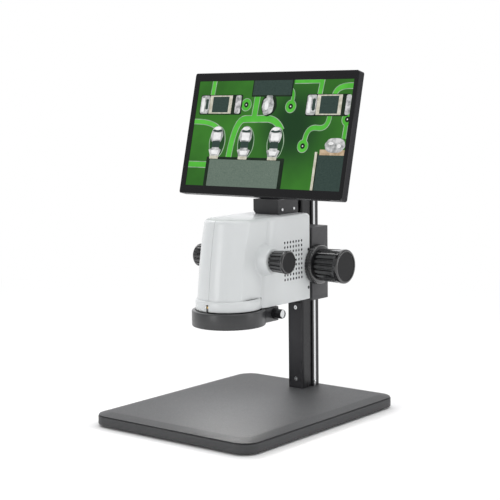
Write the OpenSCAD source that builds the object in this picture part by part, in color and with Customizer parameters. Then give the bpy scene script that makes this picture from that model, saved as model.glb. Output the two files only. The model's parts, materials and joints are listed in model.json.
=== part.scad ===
/* [Base] */
// Width of the base plate, side to side
base_w = 260; // [220:1:300]
// Depth of the base plate, front to back
base_d = 320; // [290:1:360]
// Plan radius of the base plate's corners
base_corner_r = 22; // [16:1:30]
// Height of the upright edge of the base plate
base_wall_h = 12.2; // [8:0.1:16]
// Height of the shallow bevel round the top of the plate
base_bevel_h = 3.7; // [2:0.1:6]
// Width of that bevel, seen from above
base_bevel_w = 14; // [6:1:15]
// Height of the rubber feet below the plate
foot_h = 2.5; // [2:0.5:4]

/* [Column] */
// Width of the column
col_w = 26; // [24:0.5:28]
// Depth of the column, front to back
col_d = 38.4; // [36:0.2:42]
// Distance of the column's front face behind the centre of the base
col_front = 105.4; // [103:0.1:108]
// Height of the column's top above the table
col_top = 362; // [350:1:372]

/* [Focus drive] */
// Width of the focus block
block_w = 80; // [76:1:84]
// Lowest point of the focus block, in the pictured position
block_z0 = 145.7; // [143:0.1:148]
// Height of the focus block with both end caps
block_h = 98.5; // [94:0.5:104]
// Radius of the focus knobs at their outer end
focus_knob_r = 23; // [19:0.5:25]
// Distance of the focus knobs' outer faces from the centre plane
focus_knob_x = 88.5; // [82:0.5:96]
// Radius of the tension ring
tension_r = 27; // [24:0.5:30]

/* [Head] */
// Half width of the rear box of the head
head_half_w = 40; // [40:0.5:42]
// Half width of the narrower front part
nose_half_w = 36; // [34:0.5:37]
// Wall thickness of the moulded shells
wall = 2.5; // [2:0.1:3]
// Radius of the zoom knobs
zoom_knob_r = 15.3; // [13:0.1:17]
// Distance of the zoom knobs' outer faces from the centre plane
zoom_knob_x = 74.7; // [72:0.1:78]

/* [Ring light] */
// Outer radius of the ring light
ring_r = 47.6; // [46:0.1:50]
// Height of the ring light's underside above the table
ring_z0 = 127.3; // [126:0.1:129]
// Free opening radius of the ring light
ring_bore_r = 27; // [24:0.5:29]

/* [Monitor] */
// Width of the monitor
mon_w = 271.6; // [250:0.2:290]
// Height of the monitor
mon_h = 167.1; // [150:0.1:180]
// Thickness of the monitor
mon_t = 13.5; // [12:0.5:16]
// Width of the picture area
screen_w = 256.3; // [240:0.1:260]
// Height of the picture area
screen_h = 144.2; // [136:0.1:150]
// Backward tilt of the monitor
mon_tilt = 13.9; // [10:0.1:18]

/* [Hidden] */
$fn = 64;

// Base and column
plate_z0 = foot_h;
plate_top = plate_z0 + base_wall_h + base_bevel_h;
foot_r = 12;
foot_inset = 30;
col_half = col_w / 2;
col_back = col_front + col_d;
col_edge_r = 3;
bolt_r = 4;
bolt_head_r = 6.5;
bolt_head_h = 8;
bolt_y = [col_front + 12.5, col_back - 7];
rack_half = 9.5;
rack_depth = 6.4;
gib_y0 = col_front + 6.1;
gib_y1 = col_front + 22.4;
gib_floor = 1.8;
strip_y0 = col_front + 25.3;
strip_w = 4.2;
strip_depth = 1.6;
rack_screw_z = [31, 130.5, 236, 350];

// Focus drive
focus_mod = 1;
focus_teeth = 12;
block_half = block_w / 2;
block_y0 = 91.5;
block_y1 = 127.7;
block_z1 = block_z0 + block_h;
block_cap_t = 5;
channel_gap = 0.3;
pinion_r = focus_mod * focus_teeth / 2;
rack_pitch_y = col_front + 1.2;
focus_y = rack_pitch_y - pinion_r;
focus_z = block_z0 + block_h / 2 - 1;
shaft_r = 4;
hub_r = 15;
ring_x0 = block_half + 0.4;
ring_x1 = block_half + 8.8;
knob_x0 = ring_x1 + 0.5;
rack_z0 = 137.5;
rack_z1 = 316;

// Head
axis_front = 36.4;
head_z0 = 149;
head_z1 = 264;
box_back = 88.6;
box_lean_y0 = -13.5;
box_lean_y1 = 4.6;
collar_r = 42.5;
collar_z1 = 162.8;
zoom_y = -5.6;
zoom_z = 209.8;
zoom_mod = 0.8;
zoom_teeth = 12;
zoom_pitch_r = zoom_mod * zoom_teeth / 2;
zoom_shaft_r = 2.5;
boss_x = 50.5;
frame_z0 = 153;
frame_z1 = 248;
carrier_r = 17;
rod_x = 19.5;
rod_r = 2;
vent_r = 1.5;
vent_pitch = 6.1;
vent_y0 = 31.3;
vent_z0 = 180.3;
vent_nx = 7;
vent_nz = 9;
board_x = -30;
port_z = 168;
bulkhead_y = 82.6;
bulkhead_t = 3;
jack_y = 68;
video_y = 52;
data_y = 33;
button_z = 246;
dimmer_y = 48;
collar_back = -15.4;
side_screw_y = 83;
side_screw_z = [164.7, 215.8];
mount_x = 24;
mount_z = [block_z0 + 14, block_z1 - 14];
bracket_screw_x = 12;
bracket_screw_y = [50.8, 76.2];

// Ring light
ring_z1 = ring_z0 + 20.6;
lug_x = 40;
lug_y0 = -14;
lug_y1 = 18;
tongue_x = 32;
tongue_y0 = -3;
tongue_y1 = 13;
thumb_y = 8;
thumb_z = 139.8;

// Monitor
mon_y = 43.3;
mon_z = 369.7;
pivot_back = 35;
pivot_drop = 32;
pivot_y = mon_y + pivot_back * cos(mon_tilt) - pivot_drop * sin(mon_tilt);
pivot_z = mon_z - pivot_back * sin(mon_tilt) - pivot_drop * cos(mon_tilt);
bracket_half = 21;
bracket_y0 = 43;
bracket_y1 = 86;
bracket_top = 283.5;
glass_t = 1.8;
screen_x = 1.8;

// Shared shapes

module rounded_rect(w, d, r) {
    square([w - 2 * r, d], center = true);
    square([w, d - 2 * r], center = true);
    for (x = [-1, 1], y = [-1, 1])
        translate([x * (w / 2 - r), y * (d / 2 - r)]) circle(r);
}

module rounded_box(w, d, h, r) {
    linear_extrude(h) rounded_rect(w, d, r);
}

// An outline in the (Y, Z) plane, drawn out along X from x0 to x1
module along_x(x0, x1) {
    translate([x0, 0, 0]) rotate([90, 0, 90]) linear_extrude(x1 - x0) children();
}

// A cylinder lying along X from x0 to x1, centred on (y, z)
module bar_x(x0, x1, y, z, r) {
    translate([min(x0, x1), y, z]) rotate([0, 90, 0]) cylinder(r = r, h = abs(x1 - x0));
}

// A screw with a socket, its head's top face at the origin and its shank along -Z
module socket_screw(r, head_r, head_h, length) {
    difference() {
        union() {
            translate([0, 0, -head_h]) cylinder(r = head_r, h = head_h);
            translate([0, 0, -length]) cylinder(r = r, h = length);
        }
        translate([0, 0, -head_h * 0.6]) cylinder(r = r * 0.75, h = head_h, $fn = 6);
    }
}

// Outline of a gear with straight-sided teeth, thinned for backlash
module gear_outline(mod, teeth) {
    r = mod * teeth / 2;
    tip = r + 0.85 * mod;
    root = r - 1.15 * mod;
    step = 360 / teeth;
    circle(root + 0.01, $fn = 48);
    for (i = [0 : teeth - 1])
        rotate(i * step)
            polygon([
                [root * cos(0.30 * step) - 0.3, -root * sin(0.30 * step)],
                [r * cos(0.19 * step), -r * sin(0.19 * step)],
                [tip * cos(0.08 * step), -tip * sin(0.08 * step)],
                [tip * cos(0.08 * step), tip * sin(0.08 * step)],
                [r * cos(0.19 * step), r * sin(0.19 * step)],
                [root * cos(0.30 * step) - 0.3, root * sin(0.30 * step)]]);
}

// Rack teeth in the (distance, height) plane, pointing to -distance, pitch line at distance 0;
// a gap between two teeth lies at height centre
module rack_teeth(mod, z0, z1, centre) {
    pitch = PI * mod;
    first = ceil((z0 - centre) / pitch - 0.5 + 0.33);
    last = floor((z1 - centre) / pitch - 0.5 - 0.33);
    for (i = [first : last])
        translate([0, centre + (i + 0.5) * pitch])
            polygon([
                [1.1 * mod, -0.33 * pitch], [-0.85 * mod, -0.10 * pitch],
                [-0.85 * mod, 0.10 * pitch], [1.1 * mod, 0.33 * pitch]]);
}

// A knob lying along +X from x0 to x1 with straight flutes and a smooth outer rim
module fluted_knob(x0, x1, r0, r1, rim, flutes, flute_r, bore_r, bore_depth, dish_r, dish) {
    length = x1 - x0;
    difference() {
        translate([x0, 0, 0]) rotate([0, 90, 0]) rotate_extrude()
            polygon([
                [0, 0], [r0 - 1.5, 0], [r0, 1.5], [r1, length - 1.8], [r1 - 1.8, length],
                [dish_r, length], [dish_r, length - dish], [0, length - dish]]);
        for (i = [0 : flutes - 1])
            rotate([i * 360 / flutes, 0, 0])
                translate([x0 - 1, 0, r1 + flute_r * 0.45])
                    rotate([0, 90, 0]) cylinder(r = flute_r, h = length - rim + 1, $fn = 24);
        bar_x(x0 - 1, x0 + bore_depth, 0, 0, bore_r);
    }
}

// Stand

module base_plate() {
    color("#3c3d3f")
    difference() {
        union() {
            translate([0, 0, plate_z0]) rounded_box(base_w, base_d, base_wall_h, base_corner_r);
            hull() {
                translate([0, 0, plate_z0 + base_wall_h - 0.5])
                    rounded_box(base_w, base_d, 0.5, base_corner_r);
                translate([0, 0, plate_top - 0.1])
                    rounded_box(base_w - 2 * base_bevel_w, base_d - 2 * base_bevel_w, 0.1,
                        base_corner_r - base_bevel_w + 4);
            }
        }
        for (y = bolt_y) {
            translate([0, y, 0]) cylinder(r = bolt_r + 0.2, h = 40);
            translate([0, y, 0]) cylinder(r = bolt_head_r + 0.4, h = plate_z0 + bolt_head_h + 0.6);
        }
        feet_at() translate([0, 0, plate_z0 - 1]) cylinder(r = foot_r + 0.1, h = 2.5);
    }
}

module feet_at() {
    for (x = [-1, 1], y = [-1, 1])
        translate([x * (base_w / 2 - foot_inset), y * (base_d / 2 - foot_inset), 0]) children();
}

module rubber_feet() {
    color("#1b1b1c")
    feet_at() cylinder(r = foot_r, h = plate_z0 + 1.5);
}

module column_outline() {
    difference() {
        translate([0, col_front + col_d / 2]) rounded_rect(col_w, col_d, col_edge_r);
        translate([-rack_half - 0.05, col_front - 1]) square([2 * rack_half + 0.1, rack_depth + 1]);
        for (s = [-1, 1]) {
            translate([s * col_half, (gib_y0 + gib_y1) / 2])
                square([2 * gib_floor, gib_y1 - gib_y0], center = true);
            translate([s * col_half, strip_y0 + strip_w / 2])
                square([2 * strip_depth, strip_w], center = true);
        }
        for (y = bolt_y) translate([0, y]) circle(bolt_r - 0.6);
        translate([0, (bolt_y[0] + bolt_y[1]) / 2]) rounded_rect(14, 7, 1.5);
    }
}

module column() {
    color("#2a2b2d")
    difference() {
        translate([0, 0, plate_top]) linear_extrude(col_top - plate_top) column_outline();
        for (z = rack_screw_z)
            translate([0, col_front - 1, z]) rotate([-90, 0, 0]) cylinder(r = 1.52, h = 11);
    }
}

module column_cap() {
    color("#1d1d1f")
    union() {
        translate([0, col_front + col_d / 2, col_top]) rounded_box(col_w, col_d, 3, col_edge_r);
        translate([0, (bolt_y[0] + bolt_y[1]) / 2, col_top - 8]) rounded_box(13.8, 6.8, 8.5, 1.4);
    }
}

module column_bolts() {
    color("#55575a")
    for (y = bolt_y)
        translate([0, y, plate_z0 + 0.5]) rotate([180, 0, 0])
            socket_screw(bolt_r - 0.62, bolt_head_r, bolt_head_h, 42);
}

module focus_rack() {
    color("#232426")
    difference() {
        union() {
            translate([-rack_half, col_front + 2.3, plate_top])
                cube([2 * rack_half, rack_depth - 2.3, col_top - plate_top]);
            for (range = [[plate_top, rack_z0], [rack_z1, col_top]])
                translate([-rack_half, col_front + 0.3, range[0]])
                    cube([2 * rack_half, 2.4, range[1] - range[0]]);
            translate([0, rack_pitch_y, 0]) along_x(1.5 - rack_half, rack_half - 1.5)
                rack_teeth(focus_mod, rack_z0, rack_z1, focus_z);
        }
        for (z = rack_screw_z)
            translate([0, col_front - 1, z]) rotate([-90, 0, 0]) {
                cylinder(r = 1.6, h = 20);
                cylinder(r = 3.1, h = 5.7);
            }
    }
}

module rack_screws() {
    color("#c9cbcd")
    for (z = rack_screw_z) {
        sunk = z > rack_z0 && z < rack_z1 ? 2.6 : 1;
        translate([0, col_front + sunk, z]) rotate([90, 0, 0])
            socket_screw(1.5, 2.9, 4.6 - sunk, 8.6 - sunk);
    }
}

module guide_strip() {
    difference() {
        translate([col_half - strip_depth, strip_y0 + 0.05, plate_top])
            cube([strip_depth + 0.25, strip_w - 0.1, col_top - plate_top]);
        for (z = [24.8, 344]) bar_x(0, 30, strip_y0 + strip_w / 2, z, 0.8);
    }
}

module guide_strip_left() {
    color("#d7d9da") mirror([1, 0, 0]) guide_strip();
}

module guide_strip_right() {
    color("#d7d9da") guide_strip();
}

module guide_strip_screws() {
    color("#e2e3e4")
    for (s = [0, 1], z = [24.8, 344])
        mirror([s, 0, 0]) {
            bar_x(col_half - strip_depth, col_half + 0.25, strip_y0 + strip_w / 2, z, 0.8);
            bar_x(col_half + 0.25, col_half + 0.9, strip_y0 + strip_w / 2, z, 1.5);
        }
}

// Focus block, gibs and drive

module channel(gap) {
    translate([-col_half - gap, col_front - gap])
        square([col_w + 2 * gap, block_y1 - col_front + gap + 1]);
}

module block_outline() {
    difference() {
        translate([0, (block_y0 + block_y1) / 2]) rounded_rect(block_w, block_y1 - block_y0, 1.2);
        channel(channel_gap);
    }
}

module focus_block() {
    color("#2c2d2f")
    difference() {
        translate([0, 0, block_z0 + block_cap_t])
            linear_extrude(block_h - 2 * block_cap_t) difference() {
                block_outline();
                for (s = [-1, 1])
                    translate([s * (col_half + 2), (gib_y0 + gib_y1) / 2])
                        square([5, gib_y1 - gib_y0 - 0.6], center = true);
            }
        bar_x(-block_half - 1, block_half + 1, focus_y, focus_z, 7);
        bar_x(-8, 8, focus_y, focus_z, pinion_r + 1.6);
        for (x = [-mount_x, mount_x], z = mount_z)
            translate([x, block_y0 - 1, z]) rotate([-90, 0, 0]) cylinder(r = 2.1, h = 12);
        for (z = [block_z0 + 20, block_z1 - 20])
            bar_x(-block_half - 1, -col_half - 4, (gib_y0 + gib_y1) / 2, z, 2.1);
        cap_screws_at() cylinder(r = 1.25, h = 20, center = true);
    }
}

module cap_screws_at() {
    for (x = [-31, 31], z = [block_z0 + block_cap_t, block_z1 - block_cap_t])
        translate([x, 121, z]) children();
}

module block_cap() {
    difference() {
        linear_extrude(block_cap_t) block_outline();
        for (x = [-31, 31]) {
            translate([x, 121, -1]) cylinder(r = 1.7, h = block_cap_t + 2);
            translate([x, 121, block_cap_t - 2]) cylinder(r = 3, h = 3);
        }
    }
}

module block_cap_top() {
    color("#303133") translate([0, 0, block_z1 - block_cap_t]) block_cap();
}

module block_cap_bottom() {
    color("#303133") translate([0, 0, block_z0 + block_cap_t]) mirror([0, 0, 1]) block_cap();
}

module block_cap_screws() {
    color("#44464a")
    for (x = [-31, 31]) {
        translate([x, 121, block_z1 - 0.2]) socket_screw(1.2, 2.8, 1.8, 12);
        translate([x, 121, block_z0 + 0.2]) rotate([180, 0, 0]) socket_screw(1.2, 2.8, 1.8, 12);
    }
}

module gib() {
    translate([col_half - gib_floor + 0.1, gib_y0 + 0.4, block_z0 + block_cap_t + 0.1])
        cube([gib_floor + 4.3, gib_y1 - gib_y0 - 0.8, block_h - 2 * block_cap_t - 0.2]);
}

module gib_left() {
    color("#b89a52") mirror([1, 0, 0]) gib();
}

module gib_right() {
    color("#b89a52") gib();
}

module focus_bush() {
    difference() {
        bar_x(col_half + 1, ring_x1, focus_y, focus_z, 7);
        bar_x(col_half, ring_x1 + 1, focus_y, focus_z, shaft_r + 0.03);
    }
}

module focus_bush_left() {
    color("#b08d57") mirror([1, 0, 0]) focus_bush();
}

module focus_bush_right() {
    color("#b08d57") focus_bush();
}

module focus_collar_left() {
    color("#242527")
    mirror([1, 0, 0]) difference() {
        bar_x(block_half, ring_x1, focus_y, focus_z, tension_r);
        bar_x(block_half - 1, ring_x1 + 1, focus_y, focus_z, 7);
        bar_x(ring_x1 - 2, ring_x1 + 1, focus_y, focus_z, 11);
    }
}

module tension_hub() {
    color("#3a3b3d")
    difference() {
        bar_x(block_half, ring_x1, focus_y, focus_z, hub_r);
        bar_x(block_half - 1, ring_x1 + 1, focus_y, focus_z, 7);
    }
}

module tension_ring() {
    color("#1f2022")
    difference() {
        union() {
            bar_x(ring_x0, ring_x1 - 1, focus_y, focus_z, tension_r);
            bar_x(ring_x1 - 2, ring_x1, focus_y, focus_z, tension_r - 1.2);
        }
        bar_x(ring_x0 - 1, ring_x1 + 1, focus_y, focus_z, hub_r + 0.06);
        translate([0, focus_y, focus_z])
            for (i = [0 : 39])
                rotate([i * 9, 0, 0])
                    translate([ring_x0 - 1, 0, tension_r + 0.5])
                        rotate([0, 90, 0]) cylinder(r = 1.1, h = 8, $fn = 16);
    }
}

module focus_shaft() {
    color("#c4c6c8")
    bar_x(-focus_knob_x + 5, focus_knob_x - 5, focus_y, focus_z, shaft_r);
}

module focus_pinion() {
    color("#9a9c9f")
    difference() {
        translate([0, focus_y, focus_z]) along_x(-7, 7) gear_outline(focus_mod, focus_teeth);
        bar_x(-8, 8, focus_y, focus_z, shaft_r);
    }
}

module focus_knob() {
    translate([0, focus_y, focus_z])
        fluted_knob(knob_x0, focus_knob_x, focus_knob_r - 1.4, focus_knob_r, 7, 20, 2.1,
            shaft_r, focus_knob_x - 5 - knob_x0, focus_knob_r - 3.6, 1.4);
}

module focus_knob_left() {
    color("#19191b") mirror([1, 0, 0]) focus_knob();
}

module focus_knob_right() {
    color("#19191b") focus_knob();
}

module focus_knob_caps() {
    color("#222224")
    for (s = [0, 1])
        mirror([s, 0, 0])
            bar_x(focus_knob_x - 1.4, focus_knob_x - 0.5, focus_y, focus_z, focus_knob_r - 3.7);
}

module head_screws() {
    color("#66686b")
    for (x = [-mount_x, mount_x], z = mount_z)
        translate([x, bulkhead_y - 4, z]) rotate([90, 0, 0]) socket_screw(2.05, 3.5, 4, 18);
}

// Head: frame, shells and optics

module axis_at(z) {
    translate([0, -axis_front, z]) children();
}

// Solid outline of the leaning round nose, shrunk all round by inset
module nose(inset) {
    intersection() {
        hull() {
            nose_disc(head_z0 + inset, 41.3, -35.8, inset);
            nose_disc(175, 40.8, -34, inset);
            nose_disc(205, 40.1, -31.4, inset);
            nose_disc(235, 39, -27.9, inset);
            nose_disc(254, 37.4, -25.8, inset);
            nose_disc(261 - inset * 0.6, 36, -25.6, inset);
            nose_disc(head_z1 - inset, 32.4, -25.4, inset);
        }
        translate([0, -30, 200])
            cube([2 * (nose_half_w - inset), 130, 200], center = true);
    }
}

// One slice of the nose, drawn back into the rear box
module nose_disc(z, r, y, inset) {
    translate([0, y, z]) cylinder(r = r - inset, h = 0.01, $fn = 60);
    translate([0, 15, z]) translate([inset - r, 0, 0]) cube([2 * (r - inset), 1, 0.01]);
}

// Rear box of the head, shrunk all round by inset
module rear_box(inset) {
    lean = atan((box_lean_y1 - box_lean_y0) / (head_z1 - head_z0));
    difference() {
        intersection() {
            along_x(-head_half_w + inset, head_half_w - inset) union() {
                polygon([
                    [box_lean_y0 + inset, head_z0 + inset],
                    [box_back - 5 - inset, head_z0 + inset],
                    [box_back - 5 - inset, head_z1 - inset],
                    [box_lean_y1 + inset, head_z1 - inset]]);
                translate([box_back - 10 - inset, head_z0 + 5])
                    square([10, head_z1 - head_z0 - 10]);
                for (z = [head_z0 + 5 + inset, head_z1 - 5 - inset])
                    translate([box_back - 5 - inset, z]) circle(5);
            }
            translate([0, 25, head_z0 - 10]) linear_extrude(140)
                rounded_rect(2 * (head_half_w - inset), 2 * (box_back - 25 - inset), 4);
        }
        for (s = [-1, 1])
            translate([s * (head_half_w - inset), box_lean_y0 + inset, head_z0])
                rotate([-lean, 0, 0]) rotate([0, 0, 45])
                    cube([7, 7, 300], center = true);
    }
}

// Round boss round the zoom shaft, on the right side
module zoom_boss(inset) {
    translate([nose_half_w - 4, zoom_y, zoom_z]) rotate([0, 90, 0]) rotate_extrude()
        polygon([
            [0, 0], [22 - inset, 0], [22 - inset, 4], [20 - inset, 5.2], [18.6 - inset, 8],
            [17.4 - inset, boss_x - nose_half_w + 2.6 - inset],
            [16 - inset, boss_x - nose_half_w + 4 - inset],
            [0, boss_x - nose_half_w + 4 - inset]]);
}

module head_body(inset) {
    nose(inset);
    rear_box(inset);
    zoom_boss(inset);
    mirror([1, 0, 0]) zoom_boss(inset);
}

// One moulded half of the head's cover, on the right side
module shell_half() {
    difference() {
        intersection() {
            head_body(0);
            translate([0.05, -100, head_z0]) cube([100, 300, 200]);
        }
        head_body(wall);
        collar_zone(0.1);
        axis_at(head_z0 - 1) cylinder(r = 26.3, h = 4);
        bar_x(30, 60, zoom_y, zoom_z, 6.5);
        for (i = [0 : vent_nx - 1], j = [0 : vent_nz - 1])
            bar_x(35, 45, vent_y0 + i * vent_pitch, vent_z0 + j * vent_pitch, vent_r);
        for (z = side_screw_z) {
            bar_x(30, 45, side_screw_y, z, 1.3);
            bar_x(head_half_w - 0.6, 45, side_screw_y, z, 2.1);
        }
        for (y = bracket_screw_y)
            translate([bracket_screw_x, y, head_z1 - 5]) cylinder(r = 1.7, h = 10);
        translate([-1, box_back - 5, block_z0 + 6]) cube([36, 10, block_h - 12]);
    }
}

module shell_right() {
    color("#d9dbdc")
    difference() {
        shell_half();
        translate([tongue_x - 0.3, tongue_y0 - 0.3, head_z0 - 1])
            cube([3.6, tongue_y1 - tongue_y0 + 0.6, 4]);
    }
}

module shell_left() {
    color("#d9dbdc")
    difference() {
        mirror([1, 0, 0]) shell_half();
        bar_x(-45, -30, jack_y, port_z, 4.6);
        translate([-45, video_y - 8.2, port_z - 3.4]) cube([15, 16.4, 6.8]);
        translate([-45, data_y - 7.2, port_z - 4]) cube([15, 14.4, 8]);
        bar_x(-45, -30, jack_y, button_z, 4.6);
        bar_x(-45, -30, dimmer_y, button_z, 3.6);
    }
}

module shell_screws() {
    color("#2b2c2e")
    for (s = [0, 1], z = side_screw_z)
        mirror([s, 0, 0]) {
            bar_x(34.6, head_half_w - 0.1, side_screw_y, z, 1.2);
            bar_x(head_half_w - 0.6, head_half_w - 0.05, side_screw_y, z, 2);
        }
}

// The space of the collar under the nose, grown by gap
module collar_zone(gap) {
    intersection() {
        axis_at(head_z0 - gap) cylinder(r = collar_r + gap, h = collar_z1 - head_z0 + 2 * gap);
        translate([-60, -100, head_z0 - 5]) cube([120, 100 + collar_back + 12 * gap, 40]);
    }
}

module base_collar() {
    color("#dcdedf")
    difference() {
        collar_zone(0);
        axis_at(head_z0 - 1) cylinder(r = collar_r - 3.6, h = collar_z1 - head_z0 + 2);
        translate([-1.9, -90, head_z0 - 1]) cube([3.8, 20, 10.5]);
    }
}

module contact_pin() {
    color("#b98a3c")
    translate([0, -axis_front - collar_r + 0.6, frame_z0 + 2]) rotate([-90, 0, 0])
        cylinder(r = 1.5, h = 3);
}

module head_chassis() {
    plate_x = 33;
    shelf_z = head_z1 - wall - 3.1;
    color("#a9acae")
    difference() {
        union() {
            axis_at(frame_z0) cylinder(r = collar_r - 3.6, h = 4);
            translate([-19, -36, frame_z0]) cube([38, 36 + bulkhead_y, 4]);
            for (x = [-25, 22]) translate([x, -18.5, frame_z0]) cube([3, 30.5, frame_z1 - frame_z0]);
            translate([-25, -50, frame_z1 - 4]) cube([50, 62, 4]);
            translate([-plate_x, bulkhead_y, frame_z0])
                cube([2 * plate_x, bulkhead_t, shelf_z - 0.4 - frame_z0]);
            for (s = [-1, 1], z = side_screw_z)
                translate([s * (plate_x + 0.8), bulkhead_y - 0.8, z]) cube([5.6, 4.8, 6], center = true);
            translate([-20, 43.5, shelf_z]) cube([40, 38.5, 3]);
            translate([-20, 76, shelf_z - 2]) cube([40, 7, 3]);
            translate([tongue_x, tongue_y0, ring_z0 + 7])
                cube([3, tongue_y1 - tongue_y0, frame_z0 - ring_z0 - 3]);
            translate([18, tongue_y0, frame_z0]) cube([17, tongue_y1 - tongue_y0, 4]);
            mounting_spacers();
        }
        axis_at(frame_z0 - 1) cylinder(r = 26, h = 6);
        axis_at(frame_z1 - 5) cylinder(r = 14, h = 6);
        bar_x(-40, 40, zoom_y, zoom_z, zoom_shaft_r + 0.05);
        for (s = [-1, 1])
            axis_at(frame_z1 - 10) translate([s * rod_x, 0, 0]) cylinder(r = rod_r, h = 20);
        for (x = [-mount_x, mount_x], z = mount_z)
            translate([x, 80, z]) rotate([-90, 0, 0]) cylinder(r = 2.2, h = 14);
        for (s = [-1, 1], z = side_screw_z) bar_x(s * 26, s * 40, side_screw_y, z, 1.25);
        for (x = [-bracket_screw_x, bracket_screw_x], y = bracket_screw_y)
            translate([x, y, 240]) cylinder(r = 1.6, h = 30);
    }
}

// Spacers between the rear plate and the focus block
module mounting_spacers() {
    for (x = [-mount_x, mount_x], z = mount_z)
        translate([x, bulkhead_y, z]) rotate([-90, 0, 0]) cylinder(r = 4.5, h = block_y0 - bulkhead_y);
}

module objective_barrel() {
    color("#202123")
    difference() {
        union() {
            axis_at(head_z0 - 3) cylinder(r = 25.9, h = 8 + frame_z0 - head_z0);
            axis_at(frame_z0 + 4) cylinder(r = 28, h = 4);
        }
        axis_at(head_z0 - 4) cylinder(r = 20, h = 6);
        axis_at(head_z0 - 4) cylinder(r = 16.5, h = 30);
        for (s = [-1, 1])
            axis_at(frame_z0 + 5) translate([s * rod_x, 0, 0]) cylinder(r = rod_r, h = 20);
    }
}

// A biconvex lens centred at height 0
module lens(r, edge, crown) {
    rotate_extrude()
        polygon(concat(
            [[0, -edge / 2 - crown]],
            [for (i = [1 : 7]) [r * i / 7, -edge / 2 - crown * (1 - pow(i / 7, 2))]],
            [for (i = [7 : -1 : 1]) [r * i / 7, edge / 2 + crown * (1 - pow(i / 7, 2))]],
            [[0, edge / 2 + crown]]));
}

module objective_lens() {
    color("#9fc4d8") axis_at(head_z0 - 1.2) lens(19.9, 2, 1.5);
}

module guide_rods() {
    color("#c4c6c8")
    for (s = [-1, 1])
        axis_at(frame_z0 + 5) translate([s * rod_x, 0, 0])
            cylinder(r = rod_r, h = frame_z1 - frame_z0 - 5);
}

// A lens cell on the guide rods, its underside at height 0
module carrier_ring(h) {
    difference() {
        union() {
            cylinder(r = carrier_r, h = h);
            translate([-rod_x, -3.5, 0]) cube([2 * rod_x, 7, h]);
            for (s = [-1, 1]) translate([s * (rod_x - 1.5), 0, 0]) cylinder(r = 3.5, h = h);
        }
        translate([0, 0, -1]) cylinder(r = 13, h = h + 2);
        for (s = [-1, 1]) translate([s * rod_x, 0, -1]) cylinder(r = rod_r + 0.05, h = h + 2);
    }
}

module lens_carrier_lower() {
    color("#2f3033")
    union() {
        axis_at(186) carrier_ring(8);
        translate([-3, -22, 186]) cube([6, 9, 8]);
        translate([-3, -13.9, 186])
            cube([6, 13.9 + zoom_y - zoom_pitch_r - 1.1 * zoom_mod, 40]);
        translate([0, zoom_y - zoom_pitch_r, 0]) along_x(-3, 3)
            mirror([1, 0]) rack_teeth(zoom_mod, 192, 226, zoom_z);
    }
}

module lens_carrier_upper() {
    color("#2f3033")
    union() {
        axis_at(226) carrier_ring(7);
        for (x = [-9, 5]) translate([x, -24, 226]) cube([4, 28, 7]);
        translate([-9, zoom_y + zoom_pitch_r + 1.1 * zoom_mod, 226]) cube([18, 3.7, 7]);
        translate([-3, zoom_y + zoom_pitch_r + 1.1 * zoom_mod, 194]) cube([6, 3.7, 36]);
        translate([0, zoom_y + zoom_pitch_r, 0]) along_x(-3, 3)
            rack_teeth(zoom_mod, 194, 230, zoom_z);
    }
}

module zoom_lenses_lower() {
    color("#9fc4d8") axis_at(190) lens(12.9, 3, 2);
}

module zoom_lenses_upper() {
    color("#9fc4d8") axis_at(229.5) lens(12.9, 2.4, 1.6);
}

module zoom_shaft() {
    color("#c4c6c8") bar_x(-zoom_knob_x + 6, zoom_knob_x - 6, zoom_y, zoom_z, zoom_shaft_r);
}

module zoom_pinion() {
    color("#b08d57")
    difference() {
        translate([0, zoom_y, zoom_z]) along_x(-4, 4) gear_outline(zoom_mod, zoom_teeth);
        bar_x(-6, 6, zoom_y, zoom_z, zoom_shaft_r);
    }
}

module zoom_knob() {
    translate([0, zoom_y, zoom_z])
        fluted_knob(boss_x + 0.7, zoom_knob_x, zoom_knob_r - 1.6, zoom_knob_r, 3.5, 16, 1.9,
            zoom_shaft_r, zoom_knob_x - 6 - boss_x - 0.7, zoom_knob_r - 2.4, 0.5);
}

module zoom_knob_left() {
    color("#1a1a1c") mirror([1, 0, 0]) zoom_knob();
}

module zoom_knob_right() {
    color("#1a1a1c") zoom_knob();
}

module sensor_board() {
    color("#1f6b3a")
    union() {
        axis_at(frame_z1 + 4) translate([-20, -16, 0]) cube([40, 40, 1.6]);
        axis_at(frame_z1 + 2) translate([-7, -5.5, 0]) cube([14, 11, 2]);
        for (x = [-18, 18], y = [-14, 22])
            axis_at(frame_z1) translate([x, y, 0]) cylinder(r = 2, h = 4);
    }
}

// A hollow connector shell on the left side of the board, centred at (y, z)
module port(y, z, w, h, lip) {
    difference() {
        translate([-head_half_w, y - w / 2, z - h / 2]) cube([head_half_w + board_x, w, h]);
        translate([-head_half_w - 1, y - w / 2 + lip, z - h / 2 + lip])
            cube([8.6, w - 2 * lip, h - 2 * lip]);
    }
}

module main_board() {
    color("#1f6b3a")
    union() {
        translate([board_x, 20, 160]) cube([1.6, 58, 92]);
        difference() {
            bar_x(board_x, -head_half_w, jack_y, port_z, 4.3);
            bar_x(-head_half_w - 1, -33, jack_y, port_z, 2.8);
        }
        bar_x(board_x, -head_half_w + 0.5, jack_y, port_z, 1);
        port(video_y, port_z, 15.8, 6.2, 0.7);
        port(data_y, port_z, 13.8, 7.4, 0.7);
        for (y = [dimmer_y, jack_y]) translate([-31.9, y - 4, button_z - 4]) cube([2, 8, 8]);
        translate([-28.4, 36, 188]) cube([1.6, 26, 26]);
        for (y = [26, 74], z = [163, 249]) bar_x(board_x + 1.6, -25, y, z, 2);
    }
}

module heat_sink() {
    color("#8f9295")
    union() {
        translate([-26.8, 34, 184]) cube([2, 32, 34]);
        for (i = [0 : 7]) translate([-24.8, 34 + i * 4.3, 184]) cube([14, 1.6, 34]);
    }
}

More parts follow.
